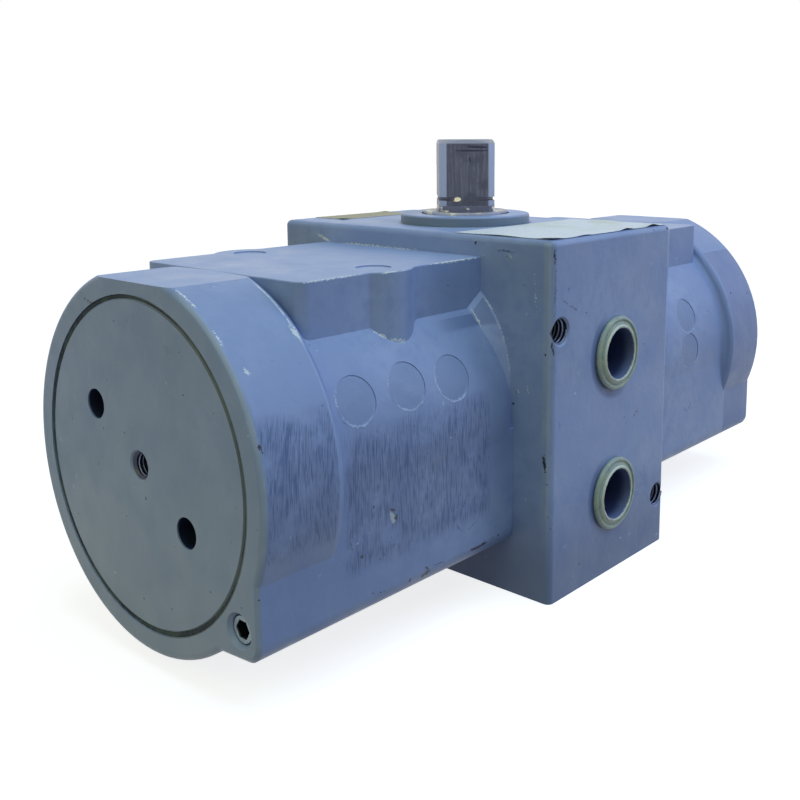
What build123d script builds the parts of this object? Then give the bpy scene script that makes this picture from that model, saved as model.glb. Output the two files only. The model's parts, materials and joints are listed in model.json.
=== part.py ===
from build123d import *
import math
import os

# Double-acting rack-and-pinion rotary actuator, in millimetres.
# The origin is on the bottom mounting face, where the output shaft's axis meets it.
# +X runs along the two cylinders, -Y is the side of the air ports, +Z is up.

# Casting: overall sizes
BODY_LENGTH = 293.0
AXIS_HEIGHT = 61.6
BLOCK_HEIGHT = 122.4
BLOCK_WIDTH = 75.6
PORT_FACE = 68.1
BACK_FACE = 62.6
BLOCK_CORNER_ROUND = 2.2
BLOCK_TOP_ROUND = 2.2

# Casting: cylinders and end flanges
BARREL_RADIUS = 53.3
FLANGE_RADIUS = 57.0
FLANGE_WIDTH = 30.6
FLANGE_STEP_LENGTH = 4.4
FLANGE_EDGE_ROUND = 2.0

# Casting: where a cylinder meets the block it narrows a little, and a crescent collar rises on its upper sides
COLLAR_LENGTH = 7.0
COLLAR_WAIST = 1.3
COLLAR_RADIUS = 41.0
COLLAR_SHRINK = 3.5
COLLAR_Y = 10.4
COLLAR_RISE = 12.2

# Casting: round marks that the ejector pins of the die left, as x and angle from -Y towards +Z
PIN_MARK_RADIUS = 7.5
PIN_MARK_DEPTH = 0.25
PIN_MARKS = ((-106.8, 21.9), (-85.7, 22.2), (-65.7, 20.8), (86.5, 19.3), (85.4, 3.2))

# Casting: flat top pads with their undrilled screw bosses
FLAT_HEIGHT = 53.6
PAD_WIDTH = 77.0
PAD_END = 117.0
PAD_CORNER_ROUND = 3.5
PAD_TOP_ROUND = 0.4
SCREW_BOSS_SPAN_X = 161.0
SCREW_BOSS_INSET = 8.0
SCREW_BOSS_RADIUS = 12.4
SCREW_BOSS_BLEND_BLOCK = 6.0
SCREW_BOSS_BLEND_END = 0.5
SCREW_MARK_RADIUS = 5.6
SCREW_MARK_DEPTH = 0.4

# Casting: the lug along the lower corner, with the air channel inside
LUG_SIDE = 52.9
LUG_DEPTH = 43.3
LUG_ROUND = 6.0
LUG_TOP_DROP = 3.0
LUG_CORE = 28.0
LUG_CORE_DEPTH = 45.4
LUG_END_BREAK = 1.2
CHANNEL_Y = 44.8
CHANNEL_DROP = 35.5
CHANNEL_RADIUS = 3.2
CHANNEL_FEED_RADIUS = 2.0
CHANNEL_FEED_INSET = 4.0

# Casting: ring boss round the top of the shaft
TOP_BOSS_RADIUS = 24.8
TOP_BOSS_HEIGHT = 3.6
TOP_BOSS_ROUND = 0.9

# Bore and end covers
BORE_RADIUS = 45.0
COVER_RADIUS = 49.1
COVER_FIT = 0.08
COVER_LENGTH = 26.0
COVER_RECESS = 0.3
COVER_EDGE_BREAK = 0.9
COVER_MOUTH_GAP = 0.8
COVER_MOUTH_DEPTH = 5.0
COVER_HOLLOW_RADIUS = 38.0
COVER_HOLLOW_DEPTH = 9.0
COVER_THREAD_RADIUS = 3.4
COVER_THREAD_MOUTH = 4.7
COVER_THREAD_DEPTH = 12.0
WRENCH_HOLE_CIRCLE = 53.1
WRENCH_HOLE_ANGLE = 33.2
WRENCH_HOLE_RADIUS = 4.6
WRENCH_HOLE_DEPTH = 11.0
COVER_RING_INSET = 6.0
COVER_RING_SECTION = 3.5
WIRE_INSET = 13.5
WIRE_SECTION = 3.0
WIRE_PLAY = 0.05
WIRE_GAP_ANGLE = 10.0
WIRE_SLOT_ANGLE = -20.0
WIRE_SLOT_LENGTH = 15.0

# Air ports, thread protectors and the two tapped holes beside them
PORT_X = 0.9
UPPER_PORT_RISE = 18.4
LOWER_PORT_DROP = 32.7
PORT_THREAD_RADIUS = 10.4
PORT_THREAD_DEPTH = 16.0
PORT_DRILL_RADIUS = 5.0
PROTECTOR_FLANGE_RADIUS = 13.1
PROTECTOR_FLANGE_THICKNESS = 1.8
PROTECTOR_BORE_RADIUS = 8.9
PROTECTOR_LENGTH = 12.0
PROTECTOR_FLOOR = 1.2
PROTECTOR_FIT = 0.1
PROTECTOR_LIP_RADIUS = 10.0
PROTECTOR_LIP_HEIGHT = 0.5
SIDE_HOLE_SPAN_X = 66.0
SIDE_HOLE_SPAN_Z = 73.4
SIDE_HOLE_DROP = 5.8
SIDE_HOLE_RADIUS = 4.25
SIDE_HOLE_MOUTH = 5.0
SIDE_HOLE_DEPTH = 15.0

# Plugs in the ends of the air channel
PLUG_RADIUS = 4.2
PLUG_FIT = 0.05
PLUG_LENGTH = 9.0
PLUG_DEPTH = 1.3
PLUG_MOUTH_RADIUS = 5.2
PLUG_SOCKET_ACROSS = 5.0
PLUG_SOCKET_DEPTH = 5.0
PLUG_EDGE_BREAK = 0.4

# Bottom mounting face
VALVE_HOLE_CIRCLE = 70.0
VALVE_HOLE_RADIUS = 3.4
VALVE_HOLE_DEPTH = 12.0

# Gearing
GEAR_MODULE = 2.5
PINION_TEETH = 18
PRESSURE_ANGLE = 20.0
BACKLASH = 0.3
ROOT_CLEARANCE = 0.25
PINION_FACE = 40.0
RACK_FACE = 34.0
RACK_TEETH = 8
FLANK_STEPS = 3

# Shaft and its bearings
JOURNAL_CLEARANCE = 0.05
LOWER_JOURNAL_RADIUS = 25.5
UPPER_JOURNAL_RADIUS = 16.2
UPPER_JOURNAL_RISE = 1.0
SHAFT_NECK_RADIUS = 19.2
BUSH_WALL = 2.6
LOWER_BUSH_LENGTH = 6.2
UPPER_BUSH_LENGTH = 7.0
LOWER_NECK_START = 17.0
SQUARE_ACROSS = 21.0
SQUARE_CORNER_RADIUS = 13.3
SQUARE_TOP = 31.6
SQUARE_TOP_BREAK = 1.6
CLIP_GROOVE_RISE = 5.2
CLIP_GROOVE_WIDTH = 1.3
CLIP_GROOVE_RADIUS = 10.9
DRIVE_SQUARE = 17.0
DRIVE_DEPTH = 20.0
DRIVE_MOUTH_BREAK = 1.0
CENTRE_DRILL_RADIUS = 2.5
CENTRE_DRILL_DEPTH = 4.0
SHAFT_RING_SECTION = 2.4
SHAFT_RING_GROOVE = 2.8
LOWER_RING_RISE = 13.4
UPPER_RING_DROP = 6.4
TOP_WIPER_GAP = 0.8
TOP_WIPER_DEPTH = 3.0

# Thrust faces and the retaining ring under the shaft
RETAINER_START = 1.6
RETAINER_THICKNESS = 1.7
RETAINER_DEPTH = 1.4
RETAINER_WIDTH = 4.0
RETAINER_PLAY = 0.05
RETAINER_GAP_ANGLE = 30.0
RETAINER_EAR_RADIUS = 3.2
RETAINER_EAR_HOLE = 1.3
THRUST_WASHER_THICKNESS = 2.0
THRUST_WASHER_BORE = 19.5
THRUST_RING_THICKNESS = 2.5
THRUST_RING_WALL = 5.0
THRUST_SEAT_HEIGHT = 108.5
THRUST_PLAY = 0.05
SEAL_PLAY = 0.03

# Pistons
PISTON_RADIUS = 44.6
PISTON_INNER_FACE = 72.0
PISTON_LENGTH = 28.0
PISTON_DISH_RADIUS = 33.0
PISTON_DISH_DEPTH = 14.0
PISTON_EDGE_BREAK = 1.5
PISTON_RING_INSET = 7.5
PISTON_RING_SECTION = 4.0
PISTON_RING_WIDTH = 4.8
GUIDE_BAND_INSET = 18.0
GUIDE_BAND_WIDTH = 6.0
GUIDE_BAND_THICKNESS = 1.8
GUIDE_BAND_GAP = 1.5
SLIDE_CLEARANCE = 0.06
RACK_END = 32.0
RACK_BACK_RADIUS = 44.0
PAD_START = -24.0
PAD_LENGTH = 48.0
PAD_FACE = 20.0
PAD_THICKNESS = 2.6
PAD_PLAY = 0.05

# Worked out from the sizes above
HALF_LENGTH = BODY_LENGTH / 2
COVER_OUTER = HALF_LENGTH - COVER_RECESS
COVER_INNER = COVER_OUTER - COVER_LENGTH
COVER_SEAT_RADIUS = COVER_RADIUS + COVER_FIT
FLAT_Z = AXIS_HEIGHT + FLAT_HEIGHT
BOSS_TOP = BLOCK_HEIGHT + TOP_BOSS_HEIGHT
PITCH_RADIUS = GEAR_MODULE * PINION_TEETH / 2
TIP_RADIUS = PITCH_RADIUS + GEAR_MODULE
ROOT_RADIUS = PITCH_RADIUS - GEAR_MODULE * (1 + ROOT_CLEARANCE)
RACK_ROOT = PITCH_RADIUS + GEAR_MODULE * (1 + ROOT_CLEARANCE)
SHAFT_BOTTOM = RETAINER_START + RETAINER_THICKNESS + THRUST_WASHER_THICKNESS
SHAFT_SHOULDER = THRUST_SEAT_HEIGHT - THRUST_RING_THICKNESS - THRUST_PLAY
JOURNAL_TOP = BOSS_TOP + UPPER_JOURNAL_RISE
SHAFT_TOP = BLOCK_HEIGHT + SQUARE_TOP
LOWER_BORE_RADIUS = LOWER_JOURNAL_RADIUS + JOURNAL_CLEARANCE
UPPER_BORE_RADIUS = UPPER_JOURNAL_RADIUS + JOURNAL_CLEARANCE
LOWER_BUSH_RADIUS = LOWER_BORE_RADIUS + BUSH_WALL
UPPER_BUSH_RADIUS = UPPER_BORE_RADIUS + BUSH_WALL
PISTON_OUTER_FACE = PISTON_INNER_FACE + PISTON_LENGTH
CUT_OVERRUN = 5.0
DRILL_POINT = 118.0

SECTION = Plane(origin=(0, 0, AXIS_HEIGHT), x_dir=(1, 0, 0), z_dir=(0, -1, 0))
CYLINDER_AXIS = Axis((0, 0, AXIS_HEIGHT), (1, 0, 0))
UPWARD = (Align.CENTER, Align.CENTER, Align.MIN)


def cylinder_x(radius, start, end, y=0.0, rise=0.0):
    """Round bar along X; y and rise are measured from the cylinder axis."""
    return Pos(start, y, AXIS_HEIGHT + rise) * Rot(0, 90, 0) * Cylinder(radius, end - start, align=UPWARD)


def cylinder_y(radius, start, end, x, z):
    """Round bar along Y from start to end."""
    return Pos(x, start, z) * Rot(-90, 0, 0) * Cylinder(radius, end - start, align=UPWARD)


def cylinder_z(radius, bottom, top, x=0.0, y=0.0):
    """Round bar along Z from bottom to top."""
    return Pos(x, y, bottom) * Cylinder(radius, top - bottom, align=UPWARD)


def drill_tip_y(radius, start, x, z):
    """The cone that a drill leaves, pointing to +Y."""
    height = radius / math.tan(math.radians(DRILL_POINT / 2))
    return Pos(x, start, z) * Rot(-90, 0, 0) * Cone(radius, 0, height, align=UPWARD)


def ring_x(outer, inner, start, end):
    """Plain ring round the cylinder axis."""
    return cylinder_x(outer, start, end) - cylinder_x(inner, start - 1, end + 1)


def ring_z(outer, inner, bottom, top):
    """Plain ring round the shaft axis."""
    return cylinder_z(outer, bottom, top) - cylinder_z(inner, bottom - 1, top + 1)


def square_bar(across, bottom, top):
    """Square bar on the shaft axis, its flats at 45 degrees to the cylinders."""
    return Pos(0, 0, bottom) * Rot(0, 0, 45) * Box(across, across, top - bottom, align=UPWARD)


def barrel_shell():
    """One cylinder of the casting, waisted at the block, with its end flange and step, as a turned form."""
    foot = BLOCK_WIDTH / 2
    step = HALF_LENGTH - FLANGE_WIDTH
    step_middle = (step + FLANGE_STEP_LENGTH / 2, (BARREL_RADIUS + FLANGE_RADIUS) / 2)
    waist_radius = BARREL_RADIUS - COLLAR_WAIST
    waist_end = (foot + COLLAR_LENGTH, BARREL_RADIUS)
    step_foot = (step, BARREL_RADIUS)
    step_top = (step + FLANGE_STEP_LENGTH, FLANGE_RADIUS)
    edge_start = (HALF_LENGTH - FLANGE_EDGE_ROUND, FLANGE_RADIUS)
    edge_end = (HALF_LENGTH, FLANGE_RADIUS - FLANGE_EDGE_ROUND)
    outline = Curve() + [
        Line((0, 0), (0, waist_radius)),
        Line((0, waist_radius), (foot, waist_radius)),
        TangentArc(waist_end, (foot, waist_radius), tangent=(-1, 0)),
        Line(waist_end, step_foot),
        TangentArc(step_foot, step_middle, tangent=(1, 0)),
        TangentArc(step_top, step_middle, tangent=(-1, 0)),
        Line(step_top, edge_start),
        TangentArc(edge_start, edge_end, tangent=(1, 0)),
        Line(edge_end, (HALF_LENGTH, 0)),
        Line((HALF_LENGTH, 0), (0, 0)),
    ]
    return revolve(SECTION * make_face(outline.edges()), axis=CYLINDER_AXIS, revolution_arc=360)


def collars():
    """The crescent collars of one cylinder: two tapered rounds, each off the axis, that rise out of it."""
    foot = BLOCK_WIDTH / 2
    taper = Cone(COLLAR_RADIUS, COLLAR_RADIUS - COLLAR_SHRINK, COLLAR_LENGTH, align=UPWARD)
    return [Pos(foot, side * COLLAR_Y, AXIS_HEIGHT + COLLAR_RISE) * Rot(0, 90, 0) * taper for side in (-1, 1)]


def pin_mark(x, angle):
    """Round, shallow recess in a cylinder's outside that follows its curve."""
    pin = Pos(x, 0, AXIS_HEIGHT) * Rot(90 - angle, 0, 0) * cylinder_z(
        PIN_MARK_RADIUS, BARREL_RADIUS - CUT_OVERRUN, BARREL_RADIUS + CUT_OVERRUN)
    return pin - cylinder_x(BARREL_RADIUS - PIN_MARK_DEPTH, x - 2 * PIN_MARK_RADIUS, x + 2 * PIN_MARK_RADIUS)


def lug_outline(x, inset=0.0):
    """Section of the lower corner lug: an upright side, a rounded corner and a sloping underside."""
    side = LUG_SIDE - inset
    depth = LUG_DEPTH - inset
    plane = Plane(origin=(x, 0, AXIS_HEIGHT), x_dir=(0, 1, 0), z_dir=(1, 0, 0))
    outline = make_face(Polyline((-LUG_CORE, -LUG_TOP_DROP), (-side, -LUG_TOP_DROP), (-side, -depth),
                                 (-LUG_CORE, inset - LUG_CORE_DEPTH), close=True))
    corner = outline.vertices().sort_by_distance((-side, -depth))[0]
    return plane * fillet(corner, LUG_ROUND - inset)


def corner_lug():
    """The lug along one cylinder, with a broken outer edge."""
    lug = extrude(lug_outline(0), HALF_LENGTH - LUG_END_BREAK)
    ends = [lug_outline(HALF_LENGTH - LUG_END_BREAK), lug_outline(HALF_LENGTH, LUG_END_BREAK)]
    return lug + loft(ends, ruled=True)


def top_pad():
    """Flat pad over one cylinder, its walls bulging round two undrilled screw bosses."""
    outline = Rectangle(PAD_END, PAD_WIDTH, align=(Align.MIN, Align.CENTER))
    outline = fillet(outline.vertices().group_by(Axis.X)[-1], PAD_CORNER_ROUND)
    boss_x = SCREW_BOSS_SPAN_X / 2
    boss_y = PAD_WIDTH / 2 - SCREW_BOSS_INSET
    outline += [Pos(boss_x, side * boss_y) * Circle(SCREW_BOSS_RADIUS) for side in (-1, 1)]
    block_joins = [v for v in outline.vertices() if boss_x - SCREW_BOSS_RADIUS < v.X < boss_x]
    outline = fillet(block_joins, SCREW_BOSS_BLEND_BLOCK)
    end_joins = [v for v in outline.vertices() if boss_x < v.X < boss_x + SCREW_BOSS_RADIUS]
    outline = fillet(end_joins, SCREW_BOSS_BLEND_END)
    pad = extrude(Pos(0, 0, AXIS_HEIGHT) * outline, FLAT_HEIGHT)
    top_edges = pad.edges().group_by(Axis.Z)[-1]
    pad = fillet(top_edges.filter_by(lambda edge: edge.center().X > 1), PAD_TOP_ROUND)
    for side in (-1, 1):
        pad -= cylinder_z(SCREW_MARK_RADIUS, FLAT_Z - SCREW_MARK_DEPTH, FLAT_Z + 1, boss_x, side * boss_y)
    return pad


def centre_block():
    """The block between the cylinders, with rounded edges and the ring boss on top."""
    depth = PORT_FACE + BACK_FACE
    block = Pos(0, (BACK_FACE - PORT_FACE) / 2, 0) * Box(BLOCK_WIDTH, depth, BLOCK_HEIGHT, align=UPWARD)
    block = fillet(block.edges().filter_by(Axis.Z), BLOCK_CORNER_ROUND)
    block = fillet(block.edges().group_by(Axis.Z)[-1], BLOCK_TOP_ROUND)
    boss = cylinder_z(TOP_BOSS_RADIUS, BLOCK_HEIGHT - 1, BOSS_TOP)
    boss = fillet(boss.edges().group_by(Axis.Z)[-1], TOP_BOSS_ROUND)
    return block + boss


def cover_seat_cuts():
    """What is bored out of one end of the casting for its cover and lock wire."""
    seat = cylinder_x(COVER_SEAT_RADIUS, COVER_INNER, HALF_LENGTH + CUT_OVERRUN)
    mouth = cylinder_x(COVER_RADIUS + COVER_MOUTH_GAP, HALF_LENGTH - COVER_MOUTH_DEPTH, HALF_LENGTH + CUT_OVERRUN)
    wire_start = COVER_OUTER - WIRE_INSET - WIRE_PLAY
    wire_end = wire_start + WIRE_SECTION + 2 * WIRE_PLAY
    groove_radius = COVER_SEAT_RADIUS + WIRE_SECTION / 2 + WIRE_PLAY
    groove = cylinder_x(groove_radius, wire_start, wire_end)
    slot = Pos(wire_start, 0, AXIS_HEIGHT) * Rot(WIRE_SLOT_ANGLE, 0, 0) * Box(
        wire_end - wire_start, FLANGE_RADIUS + CUT_OVERRUN, WIRE_SLOT_LENGTH,
        align=(Align.MIN, Align.MIN, Align.CENTER))
    slot -= cylinder_x(COVER_SEAT_RADIUS, wire_start - 1, wire_end + 1)
    return seat + mouth + groove + slot


def channel_cuts():
    """Half of the air channel in the lug, with its plug seat and the feed into the cylinder."""
    plug_end = HALF_LENGTH - PLUG_DEPTH - PLUG_LENGTH
    bore = cylinder_x(CHANNEL_RADIUS, 0, plug_end + 1, -CHANNEL_Y, -CHANNEL_DROP)
    thread = cylinder_x(PLUG_RADIUS + PLUG_FIT, plug_end, HALF_LENGTH, -CHANNEL_Y, -CHANNEL_DROP)
    mouth_start = HALF_LENGTH - PLUG_DEPTH
    mouth = Pos(mouth_start, -CHANNEL_Y, AXIS_HEIGHT - CHANNEL_DROP) * Rot(0, 90, 0) * Cone(
        PLUG_RADIUS + PLUG_FIT, PLUG_MOUTH_RADIUS, PLUG_DEPTH, align=UPWARD)
    reach = math.hypot(CHANNEL_Y, CHANNEL_DROP)
    angle = math.degrees(math.atan2(CHANNEL_DROP, CHANNEL_Y))
    feed_x = COVER_INNER - CHANNEL_FEED_INSET
    feed = Pos(feed_x, 0, AXIS_HEIGHT) * Rot(angle, 0, 0) * Pos(0, -reach, 0) * Rot(-90, 0, 0) * Cylinder(
        CHANNEL_FEED_RADIUS, reach - BORE_RADIUS + CUT_OVERRUN, align=UPWARD)
    return bore + thread + mouth + feed


def port_cuts(z, depth):
    """One threaded air port with its drilled way inwards; depth is how deep the drill goes."""
    start = -PORT_FACE
    thread = cylinder_y(PORT_THREAD_RADIUS, start - 1, start + PORT_THREAD_DEPTH, PORT_X, z)
    drill = cylinder_y(PORT_DRILL_RADIUS, start, start + depth, PORT_X, z)
    return thread + drill


def side_hole_places():
    """Centres (x, z) of the two tapped holes on the port face."""
    middle = AXIS_HEIGHT - SIDE_HOLE_DROP
    left_high = (-SIDE_HOLE_SPAN_X / 2, middle + SIDE_HOLE_SPAN_Z / 2)
    right_low = (SIDE_HOLE_SPAN_X / 2, middle - SIDE_HOLE_SPAN_Z / 2)
    return [left_high, right_low]


def side_hole_cut(x, z):
    """One tapped hole of the port face with its countersunk mouth and drill point."""
    end = SIDE_HOLE_DEPTH - PORT_FACE
    mouth = SIDE_HOLE_MOUTH - SIDE_HOLE_RADIUS
    cone = Pos(x, -PORT_FACE, z) * Rot(-90, 0, 0) * Cone(SIDE_HOLE_MOUTH, SIDE_HOLE_RADIUS, mouth, align=UPWARD)
    hole = cylinder_y(SIDE_HOLE_RADIUS, -PORT_FACE - 1, end, x, z)
    return hole + cone + drill_tip_y(SIDE_HOLE_RADIUS, end, x, z)


def valve_hole_cuts():
    """Four tapped holes round the shaft in the bottom face."""
    hole = cylinder_z(VALVE_HOLE_RADIUS, -1, VALVE_HOLE_DEPTH)
    return [place * hole for place in PolarLocations(VALVE_HOLE_CIRCLE / 2, 4, start_angle=45)]


def shaft_bore_cuts():
    """The stepped bore for the shaft, its bushes, seals, thrust faces and retaining ring."""
    lower_end = SHAFT_BOTTOM + LOWER_BUSH_LENGTH
    upper_end = THRUST_SEAT_HEIGHT + UPPER_BUSH_LENGTH
    cuts = cylinder_z(LOWER_BUSH_RADIUS, -1, lower_end)
    cuts += cylinder_z(LOWER_BUSH_RADIUS + RETAINER_DEPTH, RETAINER_START - RETAINER_PLAY,
                       RETAINER_START + RETAINER_THICKNESS)
    cuts += cylinder_z(LOWER_BORE_RADIUS, 0, AXIS_HEIGHT)
    cuts += cylinder_z(UPPER_BORE_RADIUS, AXIS_HEIGHT, BOSS_TOP + 1)
    cuts += cylinder_z(UPPER_BUSH_RADIUS, AXIS_HEIGHT, upper_end)
    cuts += cylinder_z(UPPER_BORE_RADIUS + THRUST_RING_WALL, AXIS_HEIGHT, THRUST_SEAT_HEIGHT)
    cuts += cylinder_z(UPPER_BORE_RADIUS + TOP_WIPER_GAP, BOSS_TOP - TOP_WIPER_DEPTH, BOSS_TOP + 1)
    return cuts


def housing():
    """The whole casting, machined."""
    half = barrel_shell() + corner_lug() + collars()
    above_flat = Pos(0, 0, FLAT_Z) * Box(BODY_LENGTH, BODY_LENGTH, BODY_LENGTH, align=UPWARD)
    half = half - above_flat + top_pad()
    body = half + mirror(half, about=Plane.YZ) + centre_block()
    for x, angle in PIN_MARKS:
        body -= pin_mark(x, angle)
    body -= cylinder_x(BORE_RADIUS, -HALF_LENGTH, HALF_LENGTH)
    end_cuts = cover_seat_cuts() + channel_cuts()
    body -= end_cuts
    body -= mirror(end_cuts, about=Plane.YZ)
    body -= shaft_bore_cuts()
    body -= port_cuts(AXIS_HEIGHT + UPPER_PORT_RISE, PORT_FACE - BORE_RADIUS + UPPER_PORT_RISE)
    body -= port_cuts(AXIS_HEIGHT - LOWER_PORT_DROP, PORT_FACE - CHANNEL_Y)
    for x, z in side_hole_places():
        body -= side_hole_cut(x, z)
    for hole in valve_hole_cuts():
        body -= hole
    return body


def end_cover():
    """Cover of the +X end: centre thread, two wrench holes, grooves for its ring and its wire."""
    cover = cylinder_x(COVER_RADIUS, COVER_INNER, COVER_OUTER)
    cover = chamfer(cover.edges().group_by(Axis.X)[-1], COVER_EDGE_BREAK)
    cover -= cylinder_x(COVER_HOLLOW_RADIUS, COVER_INNER - 1, COVER_INNER + COVER_HOLLOW_DEPTH)
    ring_centre = COVER_INNER + COVER_RING_INSET
    ring_floor = COVER_SEAT_RADIUS - COVER_RING_SECTION
    cover -= ring_x(COVER_RADIUS + 1, ring_floor, ring_centre - COVER_RING_SECTION / 2 - 0.2,
                    ring_centre + COVER_RING_SECTION / 2 + 0.2)
    wire_start = COVER_OUTER - WIRE_INSET - WIRE_PLAY
    wire_floor = COVER_SEAT_RADIUS - WIRE_SECTION / 2 - WIRE_PLAY
    cover -= ring_x(COVER_RADIUS + 1, wire_floor, wire_start, wire_start + WIRE_SECTION + 2 * WIRE_PLAY)
    cover -= wire_hook(WIRE_PLAY)
    thread_start = COVER_OUTER - COVER_THREAD_DEPTH
    cover -= cylinder_x(COVER_THREAD_RADIUS, thread_start, COVER_OUTER + 1)
    mouth = COVER_THREAD_MOUTH - COVER_THREAD_RADIUS
    cover -= Pos(COVER_OUTER - mouth, 0, AXIS_HEIGHT) * Rot(0, 90, 0) * Cone(
        COVER_THREAD_RADIUS, COVER_THREAD_MOUTH, mouth, align=UPWARD)
    angle = math.radians(WRENCH_HOLE_ANGLE)
    for side in (-1, 1):
        y = side * WRENCH_HOLE_CIRCLE / 2 * math.cos(angle)
        rise = side * WRENCH_HOLE_CIRCLE / 2 * math.sin(angle)
        cover -= cylinder_x(WRENCH_HOLE_RADIUS, COVER_OUTER - WRENCH_HOLE_DEPTH, COVER_OUTER + 1, y, rise)
    return cover


def wire_hook(play=0.0):
    """Inward hook at the end of the lock wire, which sits in a hole of the cover's groove."""
    side = WIRE_SECTION + 2 * play
    reach = WIRE_SECTION * 1.2 + play
    floor = COVER_SEAT_RADIUS - WIRE_SECTION / 2
    start = COVER_OUTER - WIRE_INSET - play
    return Pos(start, 0, AXIS_HEIGHT) * Rot(WIRE_SLOT_ANGLE, 0, 0) * Pos(0, floor + 0.5, 0) * Box(
        side, reach + 0.5, side, align=(Align.MIN, Align.MAX, Align.CENTER))


def lock_wire():
    """Square spring wire, half in the cover and half in the casting, open by a small gap."""
    start = COVER_OUTER - WIRE_INSET
    outer = COVER_SEAT_RADIUS + WIRE_SECTION / 2
    ring = ring_x(outer, outer - WIRE_SECTION, start, start + WIRE_SECTION)
    gap_width = 2 * outer * math.sin(math.radians(WIRE_GAP_ANGLE / 2))
    gap_turn = WIRE_SLOT_ANGLE - WIRE_GAP_ANGLE
    gap = Pos(start - 1, 0, AXIS_HEIGHT) * Rot(gap_turn, 0, 0) * Box(
        WIRE_SECTION + 2, outer + 2, gap_width, align=(Align.MIN, Align.MIN, Align.CENTER))
    return ring - gap + wire_hook()


def torus_x(centre, outer, section):
    """Round-section ring on the cylinder axis, at x = centre."""
    return Pos(centre, 0, AXIS_HEIGHT) * Rot(0, 90, 0) * Torus(outer - section / 2, section / 2)


def torus_z(centre, outer, section):
    """Round-section ring on the shaft axis, at z = centre."""
    return Pos(0, 0, centre) * Torus(outer - section / 2, section / 2)


def channel_plug():
    """Socket screw plug in the lug at the +X end."""
    outer = HALF_LENGTH - PLUG_DEPTH
    plug = cylinder_x(PLUG_RADIUS, outer - PLUG_LENGTH, outer, -CHANNEL_Y, -CHANNEL_DROP)
    plug = chamfer(plug.edges().filter_by(GeomType.CIRCLE), PLUG_EDGE_BREAK)
    plane = Plane(origin=(outer, -CHANNEL_Y, AXIS_HEIGHT - CHANNEL_DROP), x_dir=(0, 1, 0), z_dir=(1, 0, 0))
    socket = plane * RegularPolygon(PLUG_SOCKET_ACROSS / 2, 6, major_radius=False)
    return plug - extrude(socket, -PLUG_SOCKET_DEPTH)


def port_protector(z):
    """Thin plastic cup pushed into a port thread, its flange on the port face."""
    body_radius = PORT_THREAD_RADIUS - PROTECTOR_FIT
    face = -PORT_FACE - PROTECTOR_FLANGE_THICKNESS
    flange = cylinder_y(PROTECTOR_FLANGE_RADIUS, face, -PORT_FACE, PORT_X, z)
    flange = fillet(flange.edges().group_by(Axis.Y)[0], PROTECTOR_FLANGE_THICKNESS * 0.6)
    cup = cylinder_y(body_radius, -PORT_FACE, PROTECTOR_LENGTH - PORT_FACE, PORT_X, z)
    lip = cylinder_y(PROTECTOR_LIP_RADIUS, face - PROTECTOR_LIP_HEIGHT, face, PORT_X, z)
    bore_end = PROTECTOR_LENGTH - PROTECTOR_FLOOR - PORT_FACE
    bore = cylinder_y(PROTECTOR_BORE_RADIUS, face - PROTECTOR_LIP_HEIGHT - 1, bore_end, PORT_X, z)
    return flange + cup + lip - bore


def pinion_outline():
    """Involute gear outline with a tooth centred on +Y and another on -Y."""
    base = PITCH_RADIUS * math.cos(math.radians(PRESSURE_ANGLE))
    thickness = math.pi * GEAR_MODULE / 2 - BACKLASH / 2
    involute = math.tan(math.radians(PRESSURE_ANGLE)) - math.radians(PRESSURE_ANGLE)
    half_base = thickness / 2 / PITCH_RADIUS + involute
    flank = []
    for step in range(FLANK_STEPS + 1):
        radius = base + (TIP_RADIUS - base) * step / FLANK_STEPS
        spread = math.acos(base / radius)
        flank.append((radius, half_base - (math.tan(spread) - spread)))
    half_tooth = [(ROOT_RADIUS, half_base)] + flank
    points = []
    for tooth in range(PINION_TEETH):
        centre = math.pi / 2 + 2 * math.pi * tooth / PINION_TEETH
        for radius, angle in half_tooth:
            points.append((radius * math.cos(centre - angle), radius * math.sin(centre - angle)))
        for radius, angle in reversed(half_tooth):
            points.append((radius * math.cos(centre + angle), radius * math.sin(centre + angle)))
    return make_face(Polyline(*points, close=True))


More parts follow.
